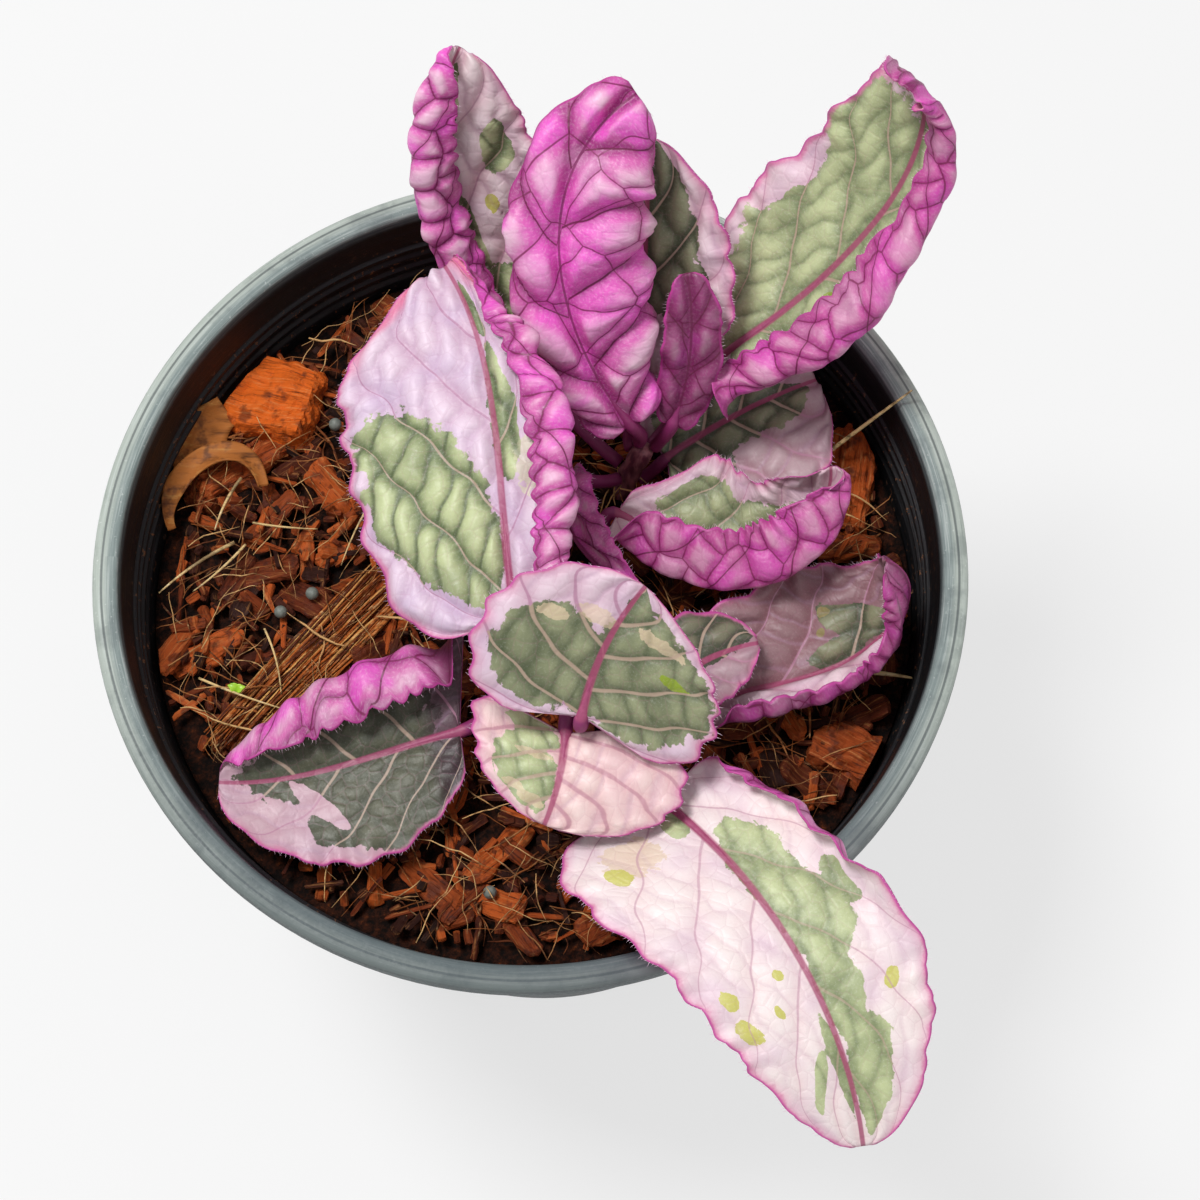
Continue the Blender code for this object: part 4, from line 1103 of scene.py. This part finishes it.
def tube_points(point, tangent, radius, sides):
    """Points of a round tube: one circle at each point of its centre line."""
    sideways = unit(np.cross(tangent, (0.013, 1.0, 0.021)))
    over = np.cross(sideways, tangent)
    angle = np.arange(sides) * 2 * math.pi / sides
    circle = sideways[:, None] * np.cos(angle)[None, :, None] + over[:, None] * np.sin(angle)[None, :, None]
    return (point[:, None] + circle * radius[:, None, None]).reshape(-1, 3)


def build_stems():
    """Both stems as fine round shoots that swell a little where leaves grow from them."""
    finish = stem_material()
    shares = np.linspace(0, 1, 90)
    for name, path in STEM_PATHS.items():
        point, tangent = point_along(*smooth_path(path), shares)
        nodes = {spec["root"][1] for spec in LEAVES.values() if spec["root"][0] == name}
        swell = sum(np.exp(-((shares - at) / NODE_LENGTH) ** 2) for at in sorted(nodes))
        radius = STEM_RADIUS * (1 - STEM_TAPER * shares) - STEM_THINNER + NODE_SWELL * np.minimum(swell, 1)
        radius[-3:] *= (0.95, 0.75, 0.4)
        points = tube_points(point, tangent, radius, STEM_SIDES)
        shoot = mesh_object(name + "_fine", points, ring_faces(len(shares), STEM_SIDES))
        shoot.data.materials.append(finish)
        finish_piece(shoot, "stem_skin", name)


# Pot

def inside_radius():
    """Radius of the pot's inside, just under the collar."""
    return LIP_RADIUS - LIP_WIDTH - LIP_THICKNESS - COLLAR_STEP


def wall_radius(z):
    """Radius of the pot's inside at a height under the collar."""
    low = BASE_RADIUS - WALL
    return low + (inside_radius() - low) * (z - WALL) / (POT_HEIGHT - COLLAR_DROP - WALL)


def rounded(corners, steps=4):
    """A half section whose corners, given as radius, height and rounding, become short arcs."""
    section = []
    for k, (r, z, size) in enumerate(corners):
        here = np.array((r, z))
        if not size:
            section.append(here)
            continue
        start = here + unit(np.array(corners[k - 1][:2]) - here) * size
        end = here + unit(np.array(corners[k + 1][:2]) - here) * size
        section += [(1 - x) ** 2 * start + 2 * x * (1 - x) * here + x * x * end
                    for x in np.linspace(0, 1, steps)]
    return section


def turned(name, section, segments):
    """A solid turned about Z from a half section, closed flat at both ends of the section."""
    section = np.array(section)
    count = len(section)
    angle = 2 * math.pi * np.arange(segments) / segments
    points = np.stack([np.cos(angle)[:, None] * section[:, 0], np.sin(angle)[:, None] * section[:, 0],
                       np.broadcast_to(section[:, 1], (segments, count))], -1).reshape(-1, 3)
    faces = []
    for s in range(segments):
        one = s * count
        two = (s + 1) % segments * count
        faces += [(one + k, two + k, two + k + 1, one + k + 1) for k in range(count - 1)]
    faces.append(tuple(s * count for s in reversed(range(segments))))
    faces.append(tuple(s * count + count - 1 for s in range(segments)))
    return mesh_object(name, points, faces)


def pot_section():
    """The pot's half section: outside wall, collar, skirt of the lip, lip, and the ridged inside."""
    outer = LIP_RADIUS - LIP_THICKNESS
    neck = LIP_RADIUS - LIP_WIDTH
    collar = POT_HEIGHT - COLLAR_DROP
    under_lip = POT_HEIGHT - LIP_THICKNESS
    skirt_end = POT_HEIGHT - SKIRT_DROP
    low = inside_radius() + COLLAR_STEP
    corners = [
        (BASE_RADIUS - 3, 0.0, 0), (BASE_RADIUS, 0.0, 1.2),
        (inside_radius() + WALL, collar, 0.5), (neck + COLLAR_SWELL, collar + WALL, 0.5),
        (neck + COLLAR_SWELL, under_lip, 0.3), (outer, under_lip, 0.4), (outer, skirt_end, 0.4),
        (LIP_RADIUS, skirt_end, 0.4), (LIP_RADIUS, POT_HEIGHT, 1.1), (neck, POT_HEIGHT, 0.9),
    ]
    slope = (neck - LIP_EASE - low) / (COLLAR_DROP - 2 * LIP_EASE)
    for height in RIDGE_HEIGHTS:
        skin = low + slope * (height - collar)
        corners += [(skin, height + 0.8, 0.2), (skin - RIDGE_DEPTH, height + 0.35, 0.2),
                    (skin - RIDGE_DEPTH, height - 0.35, 0.2), (skin, height - 0.8, 0.2)]
    corners += [(low, collar + COLLAR_STEP, 0.3), (inside_radius(), collar, 0.3),
                (BASE_RADIUS - WALL, WALL, 1.5), (BASE_RADIUS - WALL - 3, WALL, 0)]
    return rounded(corners)


def build_drain_tree(finish):
    """A ring of round holes cut through the pot's floor."""
    tree, given = geometry_tree("drain_holes", ["Holes", "Hole Radius", "Circle Radius", "Depth"])
    ring = node(tree, "GeometryNodeMeshCircle",
                {"Vertices": given["Holes"], "Radius": given["Circle Radius"]})
    cutter = node(tree, "GeometryNodeMeshCylinder",
                  {"Vertices": 32, "Radius": given["Hole Radius"], "Depth": given["Depth"]}, "Mesh")
    turn = (0.0, 0.0, math.pi / DRAIN_HOLES)
    cutters = node(tree, "GeometryNodeTransform", {"Geometry": scatter(ring, cutter), "Rotation": turn})
    cut = node(tree, "GeometryNodeMeshBoolean", {0: given["Geometry"], 1: cutters}, "Mesh",
               operation="DIFFERENCE")
    return close_tree(cut, finish)


def pot_material():
    """Black nursery plastic: dusty grey on the lip with painted shade on its front and in a thin groove,
    glossy and splashed with mix inside.
    """
    made, tree = new_material("nursery_plastic")
    x, y, z = split(object_place(tree))
    height = z * (1 / MM)
    reach = span(merge(x, y)) * (1 / MM)
    sheet = merge(reckon("ARCTAN2", y, x) * LIP_RADIUS, height, reach)
    cloudy = noise(sheet, 0.12, 4.0, 0.6)
    grainy = noise(sheet, 1.6, 4.0, 0.65)
    scuffs = noise(sheet * (0.06, 2.4, 2.4), 1.0, 3.0, 0.7)
    rise = (inside_radius() - BASE_RADIUS + WALL) / (POT_HEIGHT - COLLAR_DROP - WALL)
    middle = height * rise + (wall_radius(0) + WALL / 2)
    past = reach - reckon("MINIMUM", middle, LIP_RADIUS - LIP_WIDTH - 0.3)
    inner = ease(past, 0.1, -0.1) * ease(height, 90.0, 92.0)
    lip = layered(blend(ease(reach, 71.8, 73.2), "7C8987", "ABB4AC"),
                  (ease(scuffs, 0.45, 0.7, 0.5), "C6CECA"),
                  (ease(scuffs, 0.45, 0.25, 0.5), "5C686C"),
                  (ease(cloudy, 0.5, 0.35, 0.35), "4C5659"),
                  (ease(grainy, 0.6, 0.75, 0.5), "DDE2DE"),
                  # painted shade: a thin dark line where a groove would be shaded
                  (ease(abs(reach - 73.3), 0.3, 0.1, 0.7), "3A4346"),
                  # painted shade: the front of the lip darker
                  (ease(y, -0.01, -0.065, 0.75), "444F54"))
    skirt_end = POT_HEIGHT - SKIRT_DROP
    soil = ease(noise(sheet, 0.85, 3.0, 0.7), 0.62, 0.66) * inner * ease(height, 115.0, 104.0)
    colour = layered(blend(cloudy, "33393B", "4B5355"),
                     (ease(height, skirt_end - 1, skirt_end + 1, 0.8),
                      blend(ease(scuffs, 0.4, 0.7), "414B4D", "6C7878")),
                     (ease(height, 116.6, 117.6), lip),
                     (inner, blend(ease(scuffs, 0.52, 0.7, 0.5), "07090C", "1A1E24")),
                     (soil, "7A5236"))
    rough = mixed(inner, ease(grainy, 0.3, 0.7, 0.72, 0.5), ease(scuffs, 0.3, 0.7, 0.6, 0.42))
    return finish_material(made, colour, reckon("MAXIMUM", rough, soil * 0.9), grainy * 0.5 + (soil + scuffs),
                           0.12, 0.7)


def build_pot():
    """The nursery pot with its drain holes."""
    pot = turned("pot_fine", pot_section(), POT_FINE_SEGMENTS)
    finish = pot_material()
    pot.data.materials.append(finish)
    grow(pot, build_drain_tree(finish), {"Hole Radius": DRAIN_RADIUS * MM, "Circle Radius": DRAIN_CIRCLE * MM,
                                         "Holes": DRAIN_HOLES, "Depth": 6 * WALL * MM})
    finish_piece(pot, "pot_plastic", "pot")


# Potting mix

def husk_material(name, codes, grain_scale, fibre_code):
    """Coco husk: coloured by each piece's tone, with fibres along its grain and dark damp hollows."""
    made, tree = new_material(name)
    tone = named(tree, "tone", "FLOAT")
    shifted = named(tree, "grain") + merge(tone * 90.0, tone, tone)
    fibre = noise(shifted * (grain_scale / 14, grain_scale, grain_scale), 1.0, 4.0, 0.7)
    blot = noise(shifted, 0.28, 3.0, 0.6)
    colour = layered(codes[0],
                     (ease(tone, 0.0, 0.55), codes[1]),
                     (ease(tone, 0.5, 1.0), codes[2]),
                     (ease(fibre, 0.52, 0.72, 0.55), fibre_code),
                     (ease(fibre, 0.48, 0.3, 0.8), "2A0E06"),
                     (ease(blot, 0.5, 0.66, 0.65), "34120C"))
    return finish_material(made, colour, ease(blot, 0.35, 0.65, 0.55, 0.85), fibre, 0.5, specular=0.25)


def mix_bed_material():
    """Dark damp mix between the chips, near black as painted shade in the gaps between them."""
    made, tree = new_material("damp_mix_and_gap_shade")
    crumbs = noise(object_place(tree), 700.0, 5.0, 0.7)
    # painted shade: near-black ground for the shade in the gaps between chips, with its own brown crumbs
    colour = layered("0D0503", (ease(crumbs, 0.4, 0.65), "3A1A0C"), (ease(crumbs, 0.6, 0.75, 0.8), "7A3C18"))
    return finish_material(made, colour, 0.9, crumbs, 1.0, specular=0.2)


def keep_inside(geometry):
    """Points that would stand in the pot's wall slide in to its face."""
    x, y, _ = split(position(geometry.tree))
    flat = merge(x, y)
    return moved(geometry, flat * (reckon("MINIMUM", MIX_REACH * MM / span(flat), 1.0) - 1.0))


def torn_blocks(points, counts, size, turn, tear):
    """Blocks on the points, rounded and torn along their grain, with their own grain coordinates."""
    tree = points.tree
    sides = dict(zip(("Vertices X", "Vertices Y", "Vertices Z"), counts))
    cube = node(tree, "GeometryNodeMeshCube", {"Size": (1.0, 1.0, 1.0), **sides}, "Mesh")
    place = position(tree)
    cube = store(cube, "grain", place)
    cube = moved(cube, place * ease(span(place), 0.5, 0.87, BLOCK_ROUNDING, 1.0), "Position")
    blocks = scatter(store(points, "extent", size), cube, Rotation=turn, Scale=size)
    blocks = store(blocks, "grain", named(tree, "grain") * named(tree, "extent") * (1 / MM))
    grain = named(tree, "grain") + merge(named(tree, "tone", "FLOAT") * 90.0, 0.0)
    lumps = noise(grain, 0.22, 2.0) - 0.5
    threads = noise(grain * (0.15, 1.1, 1.1), 1.0, 2.0) - 0.5
    return moved(blocks, node(tree, "GeometryNodeInputNormal") * ((lumps * 2.2 + threads * 1.1) * tear))


def build_husk_tree(finish):
    """The large husks: one torn block on each point, by the point's own size, turn and tone."""
    tree, given = geometry_tree("large_husks", ["Tear"])
    turn = node(tree, "FunctionNodeEulerToRotation", {"Euler": named(tree, "turn")})
    blocks = torn_blocks(given["Geometry"], (30, 16, 8), named(tree, "extent"), turn, given["Tear"])
    return close_tree(keep_inside(blocks), finish)


def strewn_points(tree, given):
    """Points strewn over the ground, each with its tone."""
    points = node(tree, "GeometryNodeDistributePointsOnFaces",
                  {"Mesh": given["Geometry"], "Density": given["Density"], "Seed": given["Seed"]}, "Points")
    return store(points, "tone", random_float(tree, 0.0, 1.0, given["Seed"]))


def random_turn(tilt_x, tilt_y, seed):
    """A turn for each point: any way about Z, and at most as far as the tilts about X and Y."""
    low = merge(tilt_x * -1.0, tilt_y * -1.0, -math.pi)
    euler = random_vector(seed.tree, low, merge(tilt_x, tilt_y, math.pi), seed + 3.0)
    return node(seed.tree, "FunctionNodeEulerToRotation", {"Euler": euler})


def build_chip_tree(name, counts, finish):
    """Torn chips strewn over a patch of ground, lying nearly flat."""
    tree, given = geometry_tree(name, ["Density", "Length", "Width", "Thickness", "Tilt", "Tear", "Seed"])
    seed = given["Seed"]
    size = merge(given["Length"] * random_float(tree, 0.55, 1.0, seed),
                 given["Width"] * random_float(tree, 0.5, 1.0, seed + 1.0),
                 given["Thickness"] * random_float(tree, 0.5, 1.0, seed + 2.0))
    turn = random_turn(given["Tilt"], given["Tilt"], seed)
    blocks = torn_blocks(strewn_points(tree, given), counts, size, turn, given["Tear"])
    return close_tree(keep_inside(blocks), finish)


def build_fibre_tree(finish):
    """Loose coir fibres: wavy tapering threads that lie on the mix."""
    tree, given = geometry_tree("coir_fibres", ["Density", "Length", "Radius", "Rise", "Tilt", "Seed"])
    seed = given["Seed"]
    lift = merge(0.0, 0.0, given["Rise"] * random_float(tree, 0.0, 1.0, seed))
    points = moved(strewn_points(tree, given), lift)
    points = store(points, "girth", random_float(tree, 0.4, 1.0, seed + 1.0) * given["Radius"])
    bends = {"Start": (-0.5, 0.0, 0.0), "Middle": (0.0, 0.5, 0.1), "End": (0.5, 0.0, 0.0)}
    thread = node(tree, "GeometryNodeCurveQuadraticBezier", {"Resolution": 7, **bends})
    length = given["Length"] * random_float(tree, 0.3, 1.0, seed + 4.0)
    curl = length * random_float(tree, -0.35, 0.35, seed + 5.0)
    threads = scatter(points, thread, Rotation=random_turn(0.0, given["Tilt"], seed),
                      Scale=merge(length, curl, length))
    place = position(tree)
    swirl = (noise(place, 130.0, 1.0, output="Color") - (0.5, 0.5, 0.5)) * (0.004, 0.004, 0.003)
    share = node(tree, "GeometryNodeSplineParameter", (), "Factor")
    taper = ease(abs(share - 0.4), 0.1, 0.65, 0.25, 1.0)
    ring = node(tree, "GeometryNodeCurvePrimitiveCircle", {"Resolution": 4, "Radius": 1.0}, "Curve")
    tubes = node(tree, "GeometryNodeCurveToMesh",
                 {"Curve": moved(threads, swirl), "Profile Curve": ring, "Fill Caps": True,
                  "Scale": taper * named(tree, "girth", "FLOAT")})
    return close_tree(keep_inside(store(tubes, "grain", place * (1 / MM))), finish)


def build_bed_tree(finish):
    """The uneven ground of the mix: hollows and heaps in its top, none in its sides."""
    tree, given = geometry_tree("mix_ground", ["Heap Height", "Heap Scale"])
    place = position(tree)
    x, y, z = split(place)
    heaps = noise(place, given["Heap Scale"], 4.0, 0.6) - 0.5
    on_top = reckon("GREATER_THAN", z, (MIX_TOP - 3) * MM) * ease(span(merge(x, y)), 66.5 * MM, 62.0 * MM)
    rise = merge(0.0, 0.0, heaps * given["Heap Height"] * on_top)
    return close_tree(moved(given["Geometry"], rise), finish)


def ground_disc(name, radius, height, count=48):
    """A flat disc of small faces that a scatter tree strews its pieces over."""
    angle = np.arange(count) * 2 * math.pi / count
    points = [(0.0, 0.0, height)] + [(radius * math.cos(a), radius * math.sin(a), height) for a in angle]
    return mesh_object(name, points, [(0, k + 1, (k + 1) % count + 1) for k in range(count)])


def grow_mix(piece, tree, sizes):
    """Run a tree of the mix on an object, with lengths given in millimetres, and make it a piece."""
    plain = ("Density", "Tilt", "Seed", "Heap Scale")
    grow(piece, tree, {key: value if key in plain else value * MM for key, value in sizes.items()})
    finish_piece(piece, "potting_mix", "potting_mix")


def build_mix():
    """The mix: its ground, the large husks in their places, strewn chips and crumbs, and loose fibres."""
    floor = WALL + MIX_GAP
    section = [(0.4, floor), (wall_radius(floor) - MIX_GAP, floor)]
    section += [(wall_radius(z) - MIX_GAP, z) for z in np.linspace(floor, MIX_TOP - 1, 6)[1:]]
    section += [(r, MIX_TOP - 1 + 0.5 * (1 - r / 67)) for r in np.linspace(66.0, 0.4, 70)]
    grow_mix(turned("mix_bed", section, 200), build_bed_tree(mix_bed_material()),
             {"Heap Height": 4.0, "Heap Scale": 120.0})

    husk_skin = husk_material("husk_skin", ("4A1E0C", "9A4418", "DC6418"), 1.7, "E8A060")
    husks = mesh_object("husk_blocks", [h[0] for h in LARGE_HUSKS], [], {
        "extent": np.array([h[1] for h in LARGE_HUSKS]) * MM,
        "turn": np.radians([(0, -h[3], h[2]) for h in LARGE_HUSKS]),
        "tone": np.array([h[4] for h in LARGE_HUSKS])})
    grow_mix(husks, build_husk_tree(husk_skin), {"Tear": 1.9})

    chip_skin = husk_material("chip_skin", ("200B05", "68290F", "B9551F"), 1.8, "C88A50")
    for name, counts, density, size, tilt, tear, height, seed in CHIP_LAYERS:
        grow_mix(ground_disc(name, CHIP_GROUND, height), build_chip_tree(name, counts, chip_skin),
                 {"Density": density, "Length": size[0], "Width": size[1], "Thickness": size[2],
                  "Tilt": math.radians(tilt), "Tear": tear, "Seed": seed})

    fibre_skin = husk_material("fibre_skin", ("5A2A12", "9C5A2A", "E0B478"), 0.6, "E8C48C")
    for name, density, length, radius, rise, tilt, height, seed in FIBRE_LAYERS:
        grow_mix(ground_disc(name, CHIP_GROUND, height), build_fibre_tree(fibre_skin),
                 {"Density": density, "Length": length, "Radius": radius, "Rise": rise,
                  "Tilt": math.radians(tilt), "Seed": seed})


# Single bits on the mix

def lay_piece(name, points, faces, finish, attributes=None):
    """A piece of the mix that lies where the photograph shows it."""
    piece = mesh_object(name, points, faces, attributes)
    piece.data.materials.append(finish)
    finish_piece(piece, "potting_mix", "potting_mix")


def plain_attributes(points, tone):
    """Grain coordinates and tone for a piece that is not strewn."""
    return {"grain": np.asarray(points), "tone": np.full(len(points), tone)}


def ribbons(strips, thickness, count=60, columns=9):
    """Thin closed strips along their paths, as points and faces: rings of the upper and the lower face."""
    points, faces = [], []
    u = np.linspace(0, 1, count)
    t = np.linspace(-1, 1, columns)
    for path, face, widths, cup in strips:
        point, tangent = point_along(*smooth_path(path), u)
        right = unit(np.cross(tangent, np.broadcast_to(np.array(face, float), tangent.shape)))
        normal = np.cross(right, tangent)
        width = along(widths, u)[:, None, None] / 2
        sheet = (point[:, None] + right[:, None] * t[None, :, None] * width
                 + normal[:, None] * (cup * (t ** 2))[None, :, None] * width)
        offset = normal[:, None] * thickness / 2
        faces += ring_faces(count, 2 * columns, len(points))
        points += np.concatenate([sheet + offset, (sheet - offset)[:, ::-1]], axis=1).reshape(-1, 3).tolist()
    return points, faces


def build_straws():
    """Dry straws that taper to one end."""
    points, faces = [], []
    shares = np.linspace(0, 1, 24)
    for path, radius in STRAWS:
        point, tangent = point_along(*smooth_path(path), shares)
        faces += ring_faces(len(shares), STRAW_SIDES, len(points))
        points += tube_points(point, tangent, radius * (1 - 0.6 * shares ** 2), STRAW_SIDES).tolist()
    finish = husk_material("straw_skin", ("A87A48", "D8B070", "EED9A4"), 0.8, "FFF0C8")
    lay_piece("straws", points, faces, finish, plain_attributes(points, 0.7))


def build_bark_fibres():
    """Straight fibres that lie along the long strip of bark, from dark brown to straw."""
    rng = np.random.default_rng(31)
    low, high = np.array(BARK_ENDS)
    ahead = unit(high - low)
    aside = unit(np.cross(ahead, UP))
    shares = np.linspace(0, 1, 7)
    swelling = 0.35 + 0.65 * np.sin(np.pi * (0.1 + 0.8 * shares))
    points, faces, tones = [], [], []
    for _ in range(BARK_FIBRES):
        length = BARK_FIBRE_LENGTH * rng.uniform(0.35, 1.0)
        across = rng.uniform(-1, 1)
        slide = rng.uniform(-2, np.linalg.norm(high - low) - length + 2)
        start = low + ahead * slide + aside * across * BARK_HALF_WIDTH
        start = start + np.array(UP) * (1.0 - across * across) * rng.uniform(0.2, 1.4)
        end = start + ahead * length + aside * rng.uniform(-1, 1)
        middle = (start + end) / 2 + aside * rng.uniform(-0.5, 0.5) + np.array(UP) * rng.uniform(0.0, 0.5)
        point, tangent = point_along(*smooth_path([start, middle, end], 40), shares)
        girth = BARK_FIBRE_RADIUS * rng.uniform(0.4, 1.0) * swelling
        faces += ring_faces(len(shares), BARK_FIBRE_SIDES, len(points))
        ring = tube_points(point, tangent, girth, BARK_FIBRE_SIDES)
        points += ring.tolist()
        tones += [rng.uniform(0.0, 1.0) ** 1.3] * len(ring)
    finish = husk_material("bark_fibre_skin", ("5A2408", "B05A1E", "E0A860"), 0.8, "F0CC90")
    lay_piece("bark_fibres", points, faces, finish, {"grain": np.array(points), "tone": np.array(tones)})


def build_leaf_scraps():
    """A curled strip and a scrap of dry leaf."""
    points, faces = ribbons(LEAF_SCRAPS, 0.5)
    finish = husk_material("dry_leaf_skin", ("4A2410", "A4602A", "CC8A44"), 0.35, "E0AC60")
    lay_piece("leaf_scraps", points, faces, finish, plain_attributes(points, 0.6))


def build_beads():
    """Round grey beads of fertiliser."""
    finish, tree = new_material("bead_skin")
    mottle = noise(object_place(tree), 1500.0, 3.0)
    finish_material(finish, blend(mottle, "4E5450", "8E938A"), 0.55, mottle, 0.2, 0.6)
    tree, given = geometry_tree("round_beads", ["Radius"])
    ball = node(tree, "GeometryNodeMeshIcoSphere", {"Radius": given["Radius"], "Subdivisions": 4}, "Mesh")
    balls = scatter(given["Geometry"], ball)
    grow_mix(mesh_object("beads", BEADS, []), close_tree(balls, finish), {"Radius": BEAD_RADIUS})


def build_seedling():
    """A seedling of two small round leaves."""
    finish, tree = new_material("seedling_skin")
    finish_material(finish, blend(noise(object_place(tree), 1200.0, 2.0), "7CB518", "C4EA4E"), 0.4)
    lay_piece("seedling", *ribbons(SEEDLING_LEAVES, 0.4), finish)


# Camera, light and floor

def build_camera():
    """The camera at the photograph's angle."""
    elevation = math.radians(CAMERA_ELEVATION)
    offset = Vector((0.0, -math.cos(elevation), math.sin(elevation))) * CAMERA_DISTANCE
    data = bpy.data.cameras.new("camera")
    data.sensor_fit = "HORIZONTAL"
    data.angle = math.radians(CAMERA_VIEW_ANGLE)
    data.clip_start = 0.01
    camera = bpy.data.objects.new("camera", data)
    camera.location = (Vector(CAMERA_TARGET) + offset) * MM
    camera.rotation_euler = (math.radians(90 - CAMERA_ELEVATION), 0.0, 0.0)
    bpy.context.scene.collection.objects.link(camera)
    bpy.context.scene.camera = camera


def area_light(name, place, size, power):
    """A square soft light that faces the plant."""
    data = bpy.data.lights.new(name, "AREA")
    data.energy = power
    data.size = size
    light = bpy.data.objects.new(name, data)
    light.location = place
    light.rotation_euler = (Vector((0.0, 0.0, 0.11)) - Vector(place)).to_track_quat("-Z", "Y").to_euler()
    bpy.context.scene.collection.objects.link(light)


def build_stage():
    """A pale floor, an even pale sky and two soft lights."""
    bpy.context.scene.view_settings.view_transform = "Standard"
    world = bpy.data.worlds.new("studio")
    world.use_nodes = True
    world.node_tree.nodes["Background"].inputs["Color"].default_value = (1.0, 1.0, 1.0, 1.0)
    world.node_tree.nodes["Background"].inputs["Strength"].default_value = 0.4
    bpy.context.scene.world = world
    area_light("key", (-0.36, 0.14, 1.15), 0.3, 9.5)
    area_light("fill", (0.7, -0.5, 0.7), 0.8, 1.2)
    half = 1.5 / MM
    floor = mesh_object("floor", [(-half, -half, 0), (half, -half, 0), (half, half, 0), (-half, half, 0)],
                        [(0, 1, 2, 3)], smooth=False)
    finish = finish_material(new_material("floor")[0], (0.24, 0.24, 0.24, 1.0), 0.8)
    shader = finish.node_tree.nodes["Principled BSDF"]
    shader.inputs["Emission Color"].default_value = (1.0, 1.0, 1.0, 1.0)
    shader.inputs["Emission Strength"].default_value = 0.67
    floor.data.materials.append(finish)
    floor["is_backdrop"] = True


build_camera()
build_stage()
build_leaves()
build_stems()
build_pot()
build_mix()
build_straws()
build_bark_fibres()
build_leaf_scraps()
build_beads()
build_seedling()

{"cad": [list(c) for c in CAD_BOX], "visual": [list(c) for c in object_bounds()]}
